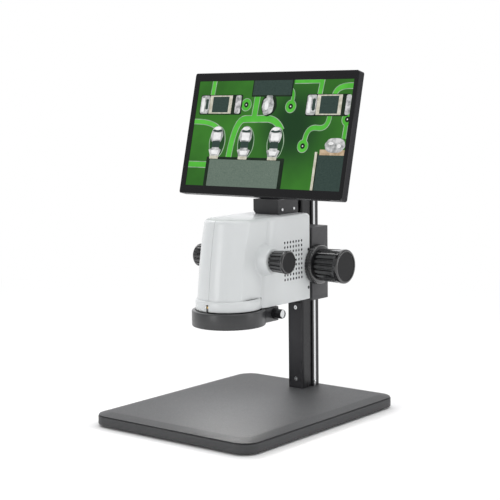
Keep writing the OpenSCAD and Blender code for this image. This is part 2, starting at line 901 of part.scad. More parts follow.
module power_button() {
    color("#2b2c2e")
    union() {
        bar_x(-36, -head_half_w - 1.8, jack_y, button_z, 4.3);
        bar_x(-33.9, -36.8, jack_y, button_z, 5.6);
    }
}

module dimmer_knob() {
    color("#1a1a1c")
    union() {
        bar_x(-33, -head_half_w - 1, dimmer_y, button_z, 3);
        translate([0, dimmer_y, button_z]) mirror([1, 0, 0])
            fluted_knob(head_half_w + 0.5, head_half_w + 9, 6.6, 6.2, 1.5, 12, 0.9, 0.5, 0.1, 5, 0.4);
    }
}

// Ring light

module ring_housing() {
    color("#232426")
    difference() {
        union() {
            axis_at(ring_z0) rotate_extrude()
                polygon([
                    [ring_bore_r, 0], [ring_r - 1.2, 0], [ring_r, 1.2], [ring_r, 19],
                    [ring_r - 1.6, 20.6], [collar_r + 0.6, 20.6], [collar_r + 0.6, 19.4],
                    [ring_bore_r, 19.4]]);
            translate([26, lug_y0, ring_z0 + 2.2]) cube([lug_x - 26, lug_y1 - lug_y0, 18.4]);
        }
        axis_at(ring_z0 - 1) cylinder(r = ring_bore_r, h = 30);
        axis_at(ring_z0 - 1) rotate_extrude()
            polygon([[ring_bore_r + 2, 0], [ring_r - 3, 0], [ring_r - 3, 9], [ring_bore_r + 2, 9]]);
        translate([tongue_x - 0.2, tongue_y0 - 0.3, ring_z0 + 6.7])
            cube([3.4, tongue_y1 - tongue_y0 + 0.6, 30]);
        bar_x(35, 50, thumb_y, thumb_z, 2.1);
    }
}

module ring_led_board() {
    color("#e9e9e4")
    union() {
        axis_at(ring_z0 + 6.4) difference() {
            cylinder(r = ring_r - 3.1, h = 1.6);
            translate([0, 0, -1]) cylinder(r = ring_bore_r + 2.1, h = 4);
        }
        axis_at(ring_z0 + 5.4)
            for (i = [0 : 23])
                rotate(i * 15) translate([(ring_r + ring_bore_r) / 2 - 0.5, 0, 0])
                    translate([-1.75, -1.4, 0]) cube([3.5, 2.8, 1.1]);
    }
}

module ring_diffuser() {
    color("#f3f3ee")
    axis_at(ring_z0 + 0.6) difference() {
        cylinder(r = ring_r - 3.1, h = 2.5);
        translate([0, 0, -1]) cylinder(r = ring_bore_r + 2.1, h = 5);
    }
}

module ring_thumbscrew() {
    color("#2a2b2d")
    union() {
        bar_x(35.4, lug_x + 8, thumb_y, thumb_z, 2);
        difference() {
            bar_x(lug_x + 0.3, lug_x + 3.6, thumb_y, thumb_z, 7.2);
            translate([0, thumb_y, thumb_z])
                for (i = [0 : 23])
                    rotate([i * 15, 0, 0]) translate([lug_x, 0, 7.5])
                        rotate([0, 90, 0]) cylinder(r = 0.7, h = 4, $fn = 12);
        }
        bar_x(lug_x + 3.4, lug_x + 7, thumb_y, thumb_z, 5.2);
        difference() {
            bar_x(lug_x + 6.8, lug_x + 14.3, thumb_y, thumb_z, 6.1);
            bar_x(lug_x + 13.5, lug_x + 15, thumb_y, thumb_z, 4.9);
        }
    }
}

// Monitor and its bracket

module monitor_bracket() {
    color("#37383b")
    difference() {
        union() {
            difference() {
                bracket_block(0);
                translate([0, 0, 2]) bracket_block(2);
            }
            for (s = [-1, 1])
                translate([s * (bracket_half - 1.25), 0, 0]) along_x(-1.25, 1.25) polygon([
                    [58, head_z1 + 8], [84, head_z1 + 8], [pivot_y + 9, pivot_z],
                    [pivot_y + 6, pivot_z + 8], [pivot_y - 6, pivot_z + 8], [pivot_y - 9, pivot_z]]);
        }
        for (x = [-bracket_screw_x, bracket_screw_x], y = bracket_screw_y)
            translate([x, y, head_z1 - 1]) cylinder(r = 1.7, h = 5);
        bar_x(-30, 30, pivot_y, pivot_z, 4.05);
    }
}

// Folded box of the bracket, shrunk sideways by inset
module bracket_block(inset) {
    w = bracket_half - inset;
    translate([0, bracket_y1 - inset, 0]) rotate([90, 0, 0])
        linear_extrude(bracket_y1 - bracket_y0 - 2 * inset)
            polygon([
                [-w, head_z1 + 4.2], [-w + 3.4, head_z1], [w - 0.4, head_z1], [w, head_z1 + 0.4],
                [w, bracket_top + (inset > 0 ? 5 : 0)], [-w, bracket_top + (inset > 0 ? 5 : 0)]]);
}

module bracket_screws() {
    color("#d0d2d4")
    union() {
        for (x = [-bracket_screw_x, bracket_screw_x], y = bracket_screw_y)
            translate([x, y, head_z1 + 4.3]) socket_screw(1.5, 2.9, 2.3, 10);
        for (s = [0, 1], y = bracket_screw_y)
            mirror([s, 0, 0]) bar_x(bracket_half, bracket_half + 1, y, 270.2, 2);
    }
}

module tilt_pin() {
    color("#b9bbbd")
    union() {
        bar_x(-24, 24, pivot_y, pivot_z, 4);
        bar_x(-25.5, -21.3, pivot_y, pivot_z, 6.5);
        bar_x(21.3, 25.5, pivot_y, pivot_z, 6.5);
    }
}

// The monitor's own frame: X right, Y back from the front face, Z up along the panel
module tilted() {
    translate([0, mon_y, mon_z]) rotate([-mon_tilt, 0, 0]) children();
}

module monitor_slab(w, h, t, r) {
    rotate([-90, 0, 0]) rounded_box(w, h, t, r);
}

module monitor_hinge_plate() {
    color("#3b3c3f")
    tilted() difference() {
        union() {
            translate([-42, mon_t, -42]) cube([84, 2, 84]);
            for (s = [-1, 1])
                translate([s * 16.4, 0, 0]) along_x(-1.5, 1.5) union() {
                    polygon([
                        [mon_t + 1, -42], [mon_t + 1, -12], [pivot_back + 3, -pivot_drop + 8],
                        [pivot_back + 3, -pivot_drop - 8]]);
                    translate([pivot_back, -pivot_drop]) circle(8);
                }
        }
        bar_x(-30, 30, pivot_back, -pivot_drop, 4.05);
        for (x = [-37.5, 37.5], z = [-37.5, 37.5])
            translate([x, mon_t - 1, z]) rotate([-90, 0, 0]) cylinder(r = 2.2, h = 5);
    }
}

module monitor_cover() {
    color("#26272a")
    tilted() difference() {
        union() {
            translate([0, glass_t, 0]) monitor_slab(mon_w, mon_h, mon_t - glass_t - 1.6, 3);
            hull() {
                translate([0, mon_t - 1.8, 0]) monitor_slab(mon_w, mon_h, 0.2, 3);
                translate([0, mon_t - 0.2, 0]) monitor_slab(mon_w - 4, mon_h - 4, 0.2, 3);
            }
        }
        translate([0, glass_t - 1, 0]) monitor_slab(mon_w - 5, mon_h - 5, 6.5, 2);
        translate([0, glass_t + 5, 0]) monitor_slab(mon_w - 16, mon_h - 16, 4, 2);
        for (x = [-37.5, 37.5], z = [-37.5, 37.5])
            translate([x, mon_t - 5, z]) rotate([-90, 0, 0]) cylinder(r = 1.7, h = 6);
    }
}

module lcd_panel() {
    color("#3a6f35")
    tilted() translate([0, glass_t + 0.1, 0]) monitor_slab(mon_w - 6, mon_h - 6, 4.4, 2);
}

module monitor_glass() {
    color("#121214")
    tilted() monitor_slab(mon_w, mon_h, glass_t, 3);
}

base_plate();
rubber_feet();
column();
column_cap();
column_bolts();
focus_rack();
rack_screws();
guide_strip_left();
guide_strip_right();
guide_strip_screws();
focus_block();
block_cap_top();
block_cap_bottom();
block_cap_screws();
gib_left();
gib_right();
focus_bush_left();
focus_bush_right();
focus_collar_left();
tension_hub();
tension_ring();
focus_shaft();
focus_pinion();
focus_knob_left();
focus_knob_right();
focus_knob_caps();
head_screws();
head_chassis();
shell_left();
shell_right();
shell_screws();
base_collar();
contact_pin();
objective_barrel();
objective_lens();
guide_rods();
lens_carrier_lower();
lens_carrier_upper();
zoom_lenses_lower();
zoom_lenses_upper();
zoom_shaft();
zoom_pinion();
zoom_knob_left();
zoom_knob_right();
sensor_board();
main_board();
heat_sink();
power_button();
dimmer_knob();
ring_housing();
ring_led_board();
ring_diffuser();
ring_thumbscrew();
monitor_bracket();
bracket_screws();
tilt_pin();
monitor_hinge_plate();
monitor_cover();
lcd_panel();
monitor_glass();
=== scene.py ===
"""Digital inspection microscope on a rack column stand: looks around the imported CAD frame."""
import json
import math
import bmesh
import bpy
import numpy as np
from mathutils import Matrix, Vector


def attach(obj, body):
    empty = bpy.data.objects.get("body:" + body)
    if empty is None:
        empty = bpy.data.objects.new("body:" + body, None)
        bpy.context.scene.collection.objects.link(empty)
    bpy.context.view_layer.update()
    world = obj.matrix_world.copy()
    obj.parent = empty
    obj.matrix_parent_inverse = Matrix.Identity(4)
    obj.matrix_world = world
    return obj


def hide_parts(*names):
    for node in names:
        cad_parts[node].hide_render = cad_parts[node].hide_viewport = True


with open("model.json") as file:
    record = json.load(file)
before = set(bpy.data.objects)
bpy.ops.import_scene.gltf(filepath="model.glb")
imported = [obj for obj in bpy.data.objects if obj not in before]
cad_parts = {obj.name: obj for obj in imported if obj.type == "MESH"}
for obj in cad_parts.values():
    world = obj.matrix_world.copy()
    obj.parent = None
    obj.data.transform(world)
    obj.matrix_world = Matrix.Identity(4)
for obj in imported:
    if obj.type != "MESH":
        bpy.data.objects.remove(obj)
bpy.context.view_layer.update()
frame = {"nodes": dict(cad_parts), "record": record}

MM = 0.001

# Camera, at the photograph's viewing angle
CAMERA_PLACE = (1.08275, -1.33271, 0.42542)
CAMERA_YAW = 38.91
CAMERA_PITCH = 6.81
CAMERA_ROLL = -0.69
CAMERA_LENS = 95.65
SENSOR_WIDTH = 36

# Axes and sizes shared with the CAD, in millimetres
BASE_SIZE = (260, 320)
BASE_CORNER = 22
RING_Y = -36.4
ZOOM_AXIS = (-5.6, 209.8)
FOCUS_AXIS = (100.6, 193.95)
RING_SCREW_AXIS = (8, 139.8)


# ---------------------------------------------------------------- small helpers

def body_of(node):
    for body, nodes in frame["record"]["behaviour"]["bodies"].items():
        if node in nodes:
            return body
    return "root"


def slot_of(node):
    for part in frame["record"]["subparts"]:
        if part["node"] == node:
            return part["material_slot"]
    return None


def place(obj, node, material=None, replaces=True):
    """Makes a piece ride with a CAD node, take the material given to it and, as a rule, stand for it.
    """
    if material:
        obj.data.materials.clear()
        obj.data.materials.append(material)
    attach(obj, body_of(node))
    if replaces:
        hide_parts(node)
    return obj


def mesh_object(name, points, faces):
    """A mesh object from points in millimetres."""
    mesh = bpy.data.meshes.new(name)
    mesh.from_pydata([[c * MM for c in p] for p in points], [], faces)
    mesh.update()
    obj = bpy.data.objects.new(name, mesh)
    bpy.context.scene.collection.objects.link(obj)
    fix_normals(obj)
    return obj


def fix_normals(obj):
    work = bmesh.new()
    work.from_mesh(obj.data)
    bmesh.ops.remove_doubles(work, verts=work.verts, dist=1e-7)
    bmesh.ops.recalc_face_normals(work, faces=work.faces)
    work.to_mesh(obj.data)
    work.free()


def smooth(obj, angle=32):
    """Smooth shading, with edges sharper than angle kept sharp."""
    obj.data.polygons.foreach_set("use_smooth", [True] * len(obj.data.polygons))
    obj.data.set_sharp_from_angle(angle=math.radians(angle))
    return obj


def apply_modifiers(obj):
    graph = bpy.context.evaluated_depsgraph_get()
    mesh = bpy.data.meshes.new_from_object(obj.evaluated_get(graph))
    obj.modifiers.clear()
    obj.data = mesh
    return obj


def bevelled(obj, width, segments=2, angle=32):
    """Rounds every edge sharper than angle, and shades the faces by their area."""
    bevel = obj.modifiers.new("bevel", "BEVEL")
    bevel.width = width * MM
    bevel.segments = segments
    bevel.limit_method = "ANGLE"
    bevel.angle_limit = math.radians(angle)
    bevel.use_clamp_overlap = True
    bevel.miter_outer = "MITER_ARC"
    apply_modifiers(obj)
    return weighted(obj, 50)


def weighted(obj, angle):
    """Smooth shading whose normals follow the larger faces."""
    smooth(obj, angle)
    weight = obj.modifiers.new("weight", "WEIGHTED_NORMAL")
    weight.keep_sharp = True
    return apply_modifiers(obj)


def boolean(obj, other, operation):
    """Joins or cuts obj with another object, and deletes that one."""
    step = obj.modifiers.new("cut", "BOOLEAN")
    step.operation = operation
    step.object = other
    step.solver = "EXACT"
    step.material_mode = "TRANSFER"
    apply_modifiers(obj)
    bpy.data.objects.remove(other)
    return obj


def join(name, objects):
    """One object from several, with their meshes side by side."""
    work = bmesh.new()
    for obj in objects:
        work.from_mesh(obj.data)
        bpy.data.objects.remove(obj)
    mesh = bpy.data.meshes.new(name)
    work.to_mesh(mesh)
    work.free()
    obj = bpy.data.objects.new(name, mesh)
    bpy.context.scene.collection.objects.link(obj)
    return obj


def refined(node, width=0.25, segments=2, angle=35, name=None):
    """A copy of a CAD node's mesh with merged flats and rounded edges."""
    work = bmesh.new()
    work.from_mesh(frame["nodes"][node].data)
    bmesh.ops.remove_doubles(work, verts=work.verts, dist=2e-6)
    bmesh.ops.dissolve_limit(work, angle_limit=math.radians(0.6), verts=work.verts, edges=work.edges)
    mesh = bpy.data.meshes.new(name or node + "_finish")
    work.to_mesh(mesh)
    work.free()
    obj = bpy.data.objects.new(name or node + "_finish", mesh)
    bpy.context.scene.collection.objects.link(obj)
    return bevelled(obj, width, segments, angle)


def arc(cx, cy, r, start, end, steps):
    """Points on an arc, in degrees."""
    return [(cx + r * math.cos(math.radians(start + (end - start) * i / steps)),
             cy + r * math.sin(math.radians(start + (end - start) * i / steps)))
            for i in range(steps + 1)]


def rounded_outline(points, radii, steps=5):
    """A closed outline with each corner replaced by an arc of its own radius."""
    out = []
    count = len(points)
    for i, corner in enumerate(points):
        r = radii[i] if isinstance(radii, (list, tuple)) else radii
        here = Vector(corner)
        to_last = (Vector(points[i - 1]) - here).normalized()
        to_next = (Vector(points[(i + 1) % count]) - here).normalized()
        half = math.acos(max(-1, min(1, to_last.dot(to_next)))) / 2
        if r <= 0 or half > math.radians(88):
            out.append(tuple(here))
            continue
        reach = r / math.tan(half)
        centre = here + (to_last + to_next).normalized() * (r / math.sin(half))
        a = here + to_last * reach - centre
        b = here + to_next * reach - centre
        turn = math.atan2(a.x * b.y - a.y * b.x, a.dot(b))
        for k in range(steps + 1):
            t = turn * k / steps
            out.append((centre.x + a.x * math.cos(t) - a.y * math.sin(t),
                        centre.y + a.x * math.sin(t) + a.y * math.cos(t)))
    return out


def rounded_rectangle(w, d, r, cx=0.0, cy=0.0, steps=8):
    corners = [(cx + w / 2, cy - d / 2), (cx + w / 2, cy + d / 2),
               (cx - w / 2, cy + d / 2), (cx - w / 2, cy - d / 2)]
    return rounded_outline(corners, r, steps)


def loft(name, rings):
    """Closed solid through rings of points, all of one length, capped at both ends."""
    count = len(rings[0])
    points = [p for ring in rings for p in ring]
    faces = []
    for j in range(len(rings) - 1):
        for i in range(count):
            k = (i + 1) % count
            faces.append((j * count + i, j * count + k, (j + 1) * count + k, (j + 1) * count + i))
    faces.append(tuple(reversed(range(count))))
    faces.append(tuple((len(rings) - 1) * count + i for i in range(count)))
    return mesh_object(name, points, faces)


def along(axis, s, a, b):
    """A point from a distance s along an axis and the two others in X, Y, Z order."""
    return {"x": (s, a, b), "y": (a, s, b), "z": (a, b, s)}[axis]


def extruded(name, outline, low, high, axis="z", edge=0.0):
    """An outline drawn out along an axis, its end edges rounded by edge."""
    obj = loft(name, [[along(axis, s, a, b) for a, b in outline] for s in (low, high)])
    return bevelled(obj, edge, 2, 40) if edge > 0 else smooth(obj, 30)


def turned(name, profile, axis="z", centre=(0.0, 0.0), steps=96, wave=None):
    """A solid of revolution through (radius, distance) points.

    wave(angle, distance, radius) is added to the radius.
    """
    points, faces = [], []
    count = len(profile)
    for i in range(steps):
        angle = 2 * math.pi * i / steps
        for r, s in profile:
            radius = r + (wave(angle, s, r) if wave else 0.0)
            points.append(along(axis, s, centre[0] + radius * math.cos(angle),
                                centre[1] + radius * math.sin(angle)))
    closed = profile[0][0] > 1e-6 and profile[-1][0] > 1e-6
    last = count if closed else count - 1
    for i in range(steps):
        k = (i + 1) % steps
        for j in range(last):
            n = (j + 1) % count
            faces.append((i * count + j, k * count + j, k * count + n, i * count + n))
    return mesh_object(name, points, faces)


# ---------------------------------------------------------------- materials

def node_material(name, color, roughness, metallic=0.0, coat=0.0, coat_roughness=0.1, ior=1.5):
    material = bpy.data.materials.new(name)
    material.use_nodes = True
    nodes = material.node_tree.nodes
    shader = nodes["Principled BSDF"]
    shader.inputs["Base Color"].default_value = (*color, 1)
    shader.inputs["Roughness"].default_value = roughness
    shader.inputs["Metallic"].default_value = metallic
    shader.inputs["IOR"].default_value = ior
    shader.inputs["Coat Weight"].default_value = coat
    shader.inputs["Coat Roughness"].default_value = coat_roughness
    return material, material.node_tree, shader


def noise(tree, scale, detail=3.0, stretch=None, roughness=0.55):
    """Noise in object coordinates, with an optional stretch of the space."""
    place_node = tree.nodes.new("ShaderNodeTexCoord")
    texture = tree.nodes.new("ShaderNodeTexNoise")
    texture.inputs["Scale"].default_value = scale
    texture.inputs["Detail"].default_value = detail
    texture.inputs["Roughness"].default_value = roughness
    if stretch:
        mapping = tree.nodes.new("ShaderNodeMapping")
        mapping.inputs["Scale"].default_value = stretch
        tree.links.new(place_node.outputs["Object"], mapping.inputs["Vector"])
        tree.links.new(mapping.outputs["Vector"], texture.inputs["Vector"])
    else:
        tree.links.new(place_node.outputs["Object"], texture.inputs["Vector"])
    return texture.outputs["Fac"]


def ramp(tree, source, stops):
    """A colour ramp over a value. stops holds (place, colour) pairs."""
    node = tree.nodes.new("ShaderNodeValToRGB")
    while len(node.color_ramp.elements) < len(stops):
        node.color_ramp.elements.new(0.5)
    for element, (position, color) in zip(node.color_ramp.elements, stops):
        element.position = position
        element.color = (*color, 1) if len(color) == 3 else color
    tree.links.new(source, node.inputs["Fac"])
    return node.outputs["Color"]


def spread(tree, source, low, high):
    """Maps a 0 to 1 value to the range low to high."""
    node = tree.nodes.new("ShaderNodeMapRange")
    node.inputs["From Min"].default_value = 0.3
    node.inputs["From Max"].default_value = 0.7
    node.inputs["To Min"].default_value = low
    node.inputs["To Max"].default_value = high
    tree.links.new(source, node.inputs["Value"])
    return node.outputs["Result"]


def bump(tree, shader, source, distance, strength=1.0):
    node = tree.nodes.new("ShaderNodeBump")
    node.inputs["Strength"].default_value = strength
    node.inputs["Distance"].default_value = distance
    tree.links.new(source, node.inputs["Height"])
    tree.links.new(node.outputs["Normal"], shader.inputs["Normal"])


def varied_color_and_painted_edge_highlight(tree, base, light, edge_highlight_amount=0.5, scale=60.0, vary=0.07):
    """Colour that varies a little at random, with a painted highlight that lightens convex edges unless
    light is the same as base.
    """
    darker = [c * (1 - vary) for c in base]
    paler = [min(1.0, c * (1 + vary)) for c in base]
    shade = ramp(tree, noise(tree, scale, 2.0), [(0.3, darker), (0.7, paler)])
    if light == base:
        return shade
    # Painted highlight: pointiness lightens convex edges towards the light colour.
    geometry = tree.nodes.new("ShaderNodeNewGeometry")
    edge = ramp(tree, geometry.outputs["Pointiness"],
                [(0.52, (0, 0, 0)), (0.60, (edge_highlight_amount, edge_highlight_amount, edge_highlight_amount))])
    mix = tree.nodes.new("ShaderNodeMix")
    mix.data_type = "RGBA"
    tree.links.new(edge, mix.inputs["Factor"])
    tree.links.new(shade, mix.inputs["A"])
    mix.inputs["B"].default_value = (*light, 1)
    return mix.outputs["Result"]


def powder_coat():
    material, tree, shader = node_material("powder_coat", (0.038, 0.039, 0.041), 0.55)
    # Painted highlight: the base plate's convex edges are lightened towards (0.08, 0.08, 0.083).
    tree.links.new(varied_color_and_painted_edge_highlight(tree, (0.038, 0.039, 0.041), (0.08, 0.08, 0.083), 0.4, 25),
                   shader.inputs["Base Color"])
    tree.links.new(spread(tree, noise(tree, 900, 2), 0.5, 0.62), shader.inputs["Roughness"])
    bump(tree, shader, noise(tree, 1400, 3), 0.0001, 0.45)
    return material


def painted(name, base, light, roughness, grain=1600, depth=0.00006, coat=0.0):
    """A fine-grained matt or satin paint, with a painted highlight along its convex edges."""
    material, tree, shader = node_material(name, base, roughness, coat=coat, coat_roughness=0.25)
    tree.links.new(varied_color_and_painted_edge_highlight(tree, base, light, 0.35, 40), shader.inputs["Base Color"])
    tree.links.new(spread(tree, noise(tree, grain / 3, 2), roughness - 0.05, roughness + 0.06),
                   shader.inputs["Roughness"])
    bump(tree, shader, noise(tree, grain, 2), depth, 0.5)
    return material


def moulded(name, base, roughness, grain=2200, depth=0.00003, coat=0.0, light=None, specular=0.5):
    """Moulded plastic with a fine spark-eroded grain and faint flow marks, and a painted highlight
    along convex edges when light is given.
    """
    material, tree, shader = node_material(name, base, roughness, coat=coat, coat_roughness=0.18)
    shader.inputs["Specular IOR Level"].default_value = specular
    tree.links.new(varied_color_and_painted_edge_highlight(tree, base, light or base, 0.3, 14, 0.02), shader.inputs["Base Color"])
    tree.links.new(spread(tree, noise(tree, 30, 3), roughness - 0.015, roughness + 0.02),
                   shader.inputs["Roughness"])
    bump(tree, shader, noise(tree, grain, 2), depth, 0.5)
    return material


def brushed(name, base, roughness, stretch, metallic=1.0, depth=0.00002, anisotropic=0.0):
    """Metal with fine straight tool marks along the short axes of stretch."""
    material, tree, shader = node_material(name, base, roughness, metallic)
    shader.inputs["Anisotropic"].default_value = anisotropic
    marks = noise(tree, 1000, 2, stretch)
    tree.links.new(ramp(tree, marks, [(0.3, [c * 0.9 for c in base]),
                                      (0.7, [min(1.0, c * 1.08) for c in base])]),
                   shader.inputs["Base Color"])
    tree.links.new(spread(tree, marks, roughness - 0.06, roughness + 0.08), shader.inputs["Roughness"])
    bump(tree, shader, marks, depth, 0.4)
    return material


def glass_black():
    material, tree, shader = node_material("black_glass", (0.006, 0.006, 0.007), 0.06, ior=1.42)
    tree.links.new(ramp(tree, noise(tree, 12, 2), [(0.3, (0.005, 0.005, 0.006)),
                                                   (0.7, (0.008, 0.008, 0.009))]),
                   shader.inputs["Base Color"])
    tree.links.new(spread(tree, noise(tree, 25, 2), 0.04, 0.09), shader.inputs["Roughness"])
    return material


def lens_glass():
    material, tree, shader = node_material("lens_glass", (0.6, 0.75, 0.9), 0.03, coat=1.0)
    shader.inputs["Transmission Weight"].default_value = 0.85
    tree.links.new(ramp(tree, noise(tree, 40, 1), [(0.3, (0.45, 0.55, 0.85)),
                                                   (0.7, (0.6, 0.75, 0.9))]),
                   shader.inputs["Base Color"])
    return material


def board_green():
    material, tree, shader = node_material("circuit_board", (0.02, 0.16, 0.05), 0.35, coat=0.4)
    tree.links.new(ramp(tree, noise(tree, 350, 1), [(0.45, (0.012, 0.10, 0.03)),
                                                    (0.55, (0.03, 0.2, 0.07))]),
                   shader.inputs["Base Color"])
    return material


def glowing(name, color, strength):
    """A lit diffuser."""
    material, tree, shader = node_material(name, color, 0.4)
    tree.links.new(ramp(tree, noise(tree, 300, 1), [(0.3, [c * 0.96 for c in color]), (0.7, color)]),
                   shader.inputs["Base Color"])
    shader.inputs["Emission Color"].default_value = (1.0, 0.99, 0.97, 1)
    shader.inputs["Emission Strength"].default_value = strength
    return material


# The second, lighter colour given to powder_coat, painted and moulded materials is a painted highlight
# along convex edges.
MATERIALS = {
    "powder_coat": powder_coat(),
    "rubber": moulded("rubber", (0.018, 0.018, 0.018), 0.85, 900, 0.0001),
    "anodised_black": brushed("anodised_black", (0.020, 0.020, 0.022), 0.3, (1, 1, 0.03), 0.3,
                              0.00001),
    "black_plastic": moulded("black_plastic", (0.007, 0.007, 0.008), 0.5, specular=0.3),
    "black_steel": brushed("black_steel", (0.030, 0.030, 0.033), 0.34, (1, 0.1, 1), 0.6),
    "bright_steel": brushed("bright_steel", (0.72, 0.73, 0.74), 0.25, (1, 1, 0.05)),
    "matt_black": painted("matt_black", (0.060, 0.060, 0.064), (0.12, 0.12, 0.12), 0.5),
    "brass": brushed("brass", (0.62, 0.43, 0.18), 0.28, (0.1, 1, 1)),
    # light: painted highlight on the knobs' convex edges.
    "knob_plastic": moulded("knob_plastic", (0.007, 0.007, 0.008), 0.2, coat=1.0,
                            light=(0.03, 0.03, 0.034)),
    "knob_face": moulded("knob_face", (0.006, 0.006, 0.007), 0.5, 1500, 0.00004, specular=0.25),
    "ring_paint": painted("ring_paint", (0.032, 0.033, 0.035), (0.16, 0.16, 0.165), 0.36, 800,
                          0.00015, coat=0.2),
    "cast_aluminium": painted("cast_aluminium", (0.45, 0.46, 0.47), (0.6, 0.6, 0.6), 0.45, 700,
                              0.0001),
    "white_plastic": moulded("white_plastic", (0.71, 0.732, 0.735), 0.33, 1500, 0.00001,
                             coat=0.25),
    "lens_glass": lens_glass(),
    "circuit_board": board_green(),
    "led_board": painted("led_board", (0.8, 0.8, 0.76), (0.9, 0.9, 0.9), 0.5),
    "diffuser": glowing("diffuser", (0.9, 0.9, 0.87), 27.0),
    "sheet_black": painted("sheet_black", (0.020, 0.020, 0.022), (0.06, 0.06, 0.065), 0.42, 1200),
    # light: painted highlight on the monitor's convex edges.
    "monitor_plastic": moulded("monitor_plastic", (0.010, 0.010, 0.012), 0.42,
                               light=(0.07, 0.07, 0.08), specular=0.18),
    # Dark lining: painted shade inside the covers, in their vents, shaft bore and the collar's space.
    "painted_shade_lining": painted("painted_shade_lining", (0.012, 0.012, 0.013), (0.02, 0.02, 0.02), 0.8),
    "screen_picture": moulded("screen_panel", (0.02, 0.06, 0.02), 0.3),
    "black_glass": glass_black(),
}


def finish_plain_nodes(done):
    """Gives every CAD node that stays its own material."""
    for node, obj in frame["nodes"].items():
        if node in done:
            continue
        obj.data.materials.clear()
        obj.data.materials.append(MATERIALS[slot_of(node)])


print("materials", len(MATERIALS))


# ---------------------------------------------------------------- base and column

def base_outline(inset):
    width, depth = BASE_SIZE
    return rounded_rectangle(width - 2 * inset, depth - 2 * inset, BASE_CORNER - 0.7 * inset, steps=14)


def make_base():
    """The plate: straight sides with a groove, and a shallow bevel up to its flat top."""
    rings = [(2.5, 1.1), (2.75, 0.4), (3.3, 0), (13.2, 0), (13.45, 0.1), (13.6, 0.35), (13.62, 1.9),
             (14.9, 1.9), (14.92, 0.95), (15.1, 0.95), (15.3, 1.5), (18.1, 13.0), (18.3, 14.0),
             (18.4, 15.4)]
    obj = loft("base_casting", [[(x, y, z) for x, y in base_outline(inset)] for z, inset in rings])
    place(smooth(obj, 20), "base_plate", MATERIALS["powder_coat"])


# ---------------------------------------------------------------- head

# Height, radius and centre of the nose's front arc
NOSE = [(149, 41.3, -35.8), (175, 40.8, -34.0), (205, 40.1, -31.4), (235, 39.0, -27.9),
        (254, 37.4, -25.8), (264, 36.6, -24.9)]
NOSE_HALF = 36.0
BOX_HALF = 40.0
BOX_BACK = 88.6
HEAD_LOW = 149.0
HEAD_HIGH = 264.0
TOP_ROUND = 5.0
RAMP_LENGTH = 15.0
BACK_ROUND = 4.5
SHELL_WALL = 2.5
VENT_START = (31.3, 180.3)
VENT_STEP = 6.1
VENT_COLUMNS, VENT_ROWS = 7, 9


def nose_at(z):
    zs = [row[0] for row in NOSE]
    return (float(np.interp(z, zs, [row[1] for row in NOSE])),
            float(np.interp(z, zs, [row[2] for row in NOSE])))


def head_outline(z, inset):
    """Right half of the head's outline at a height, from the front to the back, shrunk by inset."""
    r, yc = nose_at(z)
    r -= inset
    half = NOSE_HALF - inset
    full = BOX_HALF - inset
    back = BOX_BACK - inset
    ramp_start = float(np.interp(z, [HEAD_LOW, 254, HEAD_HIGH], [-17.5, 0.5, 2.2])) + inset * 0.3
    stop = -math.degrees(math.acos(min(1.0, half / r)))
    begin = -90 + math.degrees(math.asin(0.42 / r))
    out = [(0.1, yc - r + 0.32)]
    out += arc(0, yc, r, begin, stop, 40)
    crease = out[-1][1]
    out += [(half, crease + (ramp_start - crease) * t) for t in (0.02, 0.35, 0.7, 0.98)]
    for k in range(1, 13):
        t = k / 12
        out.append((half + (full - half) * math.sin(math.pi / 2 * t) ** 0.68,
                    ramp_start + RAMP_LENGTH * t))
    side_start = out[-1][1]
    out += [(full, side_start + (back - BACK_ROUND - side_start) * t) for t in (0.04, 0.5, 0.98)]
    corner = max(1.0, BACK_ROUND - inset * 0.5)
    out += arc(full - corner, back - corner, corner, 0, 90, 8)
    out += [(0.42, back), (0.1, back - 0.32)]
    return out


def head_levels(low, high, round_r, foot=0.0):
    """(height, inset) pairs, with a round top edge and a small round bottom edge."""
    rows = [(low, foot), (low + 0.3 * foot, 0.3 * foot), (low + foot, 0.0)] if foot else [(low, 0.0)]
    z = low + foot + 3
    while z < high - round_r - 1:
        rows.append((z, 0.0))
        z += 3
    for k in range(0, 9):
        a = math.radians(90 * k / 8)
        rows.append((high - round_r + round_r * math.sin(a), round_r * (1 - math.cos(a))))
    return rows


def half_head(name, side, inset):
    """One half of the head's form, side 1 right and -1 left."""
    rings = []
    foot = 0.8 if inset == 0 else 0.0
    top_round = max(1.0, TOP_ROUND - inset)
    for z, shrink in head_levels(HEAD_LOW + inset, HEAD_HIGH - inset, top_round, foot):
        rings.append([(side * max(x, 0.1), y, z) for x, y in head_outline(z, inset + shrink)])
    if inset > 0:
        rings = [[(-side * 2.0 if abs(x) < 0.5 else x, y, z) for x, y, z in ring] for ring in rings]
    return loft(name, rings)


def boss(name, side, inset):
    """The round boss of a cover, round the zoom shaft."""
    rows = [(30, 0), (30, 21), (34.8, 23.2), (36.02, 21.9), (36.4, 20.9), (37.2, 19.8), (38.6, 19.0),
            (41.0, 18.4), (44.0, 17.95), (48.3, 17.5), (49.4, 17.15), (50.1, 16.6), (50.45, 16.0),
            (50.5, 15.2), (50.5, 0)]
    profile = [(max(0.0, r - inset), side * (x - (inset if x > 45 else 0))) for x, r in rows]
    return turned(name, profile, "x", ZOOM_AXIS, 96)


def cutter_bar(name, side, x0, x1, y, z, r, steps=20, tall=1.0):
    return extruded(name, [(y + r * math.cos(2 * math.pi * k / steps),
                            z + r * tall * math.sin(2 * math.pi * k / steps)) for k in range(steps)],
                    side * x0, side * x1, "x")


def cutter_box(name, low, high):
    return extruded(name, [(low[0], low[1]), (high[0], low[1]), (high[0], high[1]), (low[0], high[1])],
                    low[2], high[2], "z")


def collar_cutter(name, gap):
    """The space of the collar under the nose: a disc cut off at the back."""
    r = 42.5 + gap
    cut = -14.2 - RING_Y
    a = math.degrees(math.asin(cut / r))
    outline = [(x, y + RING_Y) for x, y in arc(0, 0, r, 180 - a, 360 + a, 80)]
    return extruded(name, outline, HEAD_LOW - 2, 162.8 + gap, "z")


def lined(obj, material):
    obj.data.materials.append(material)
    return obj


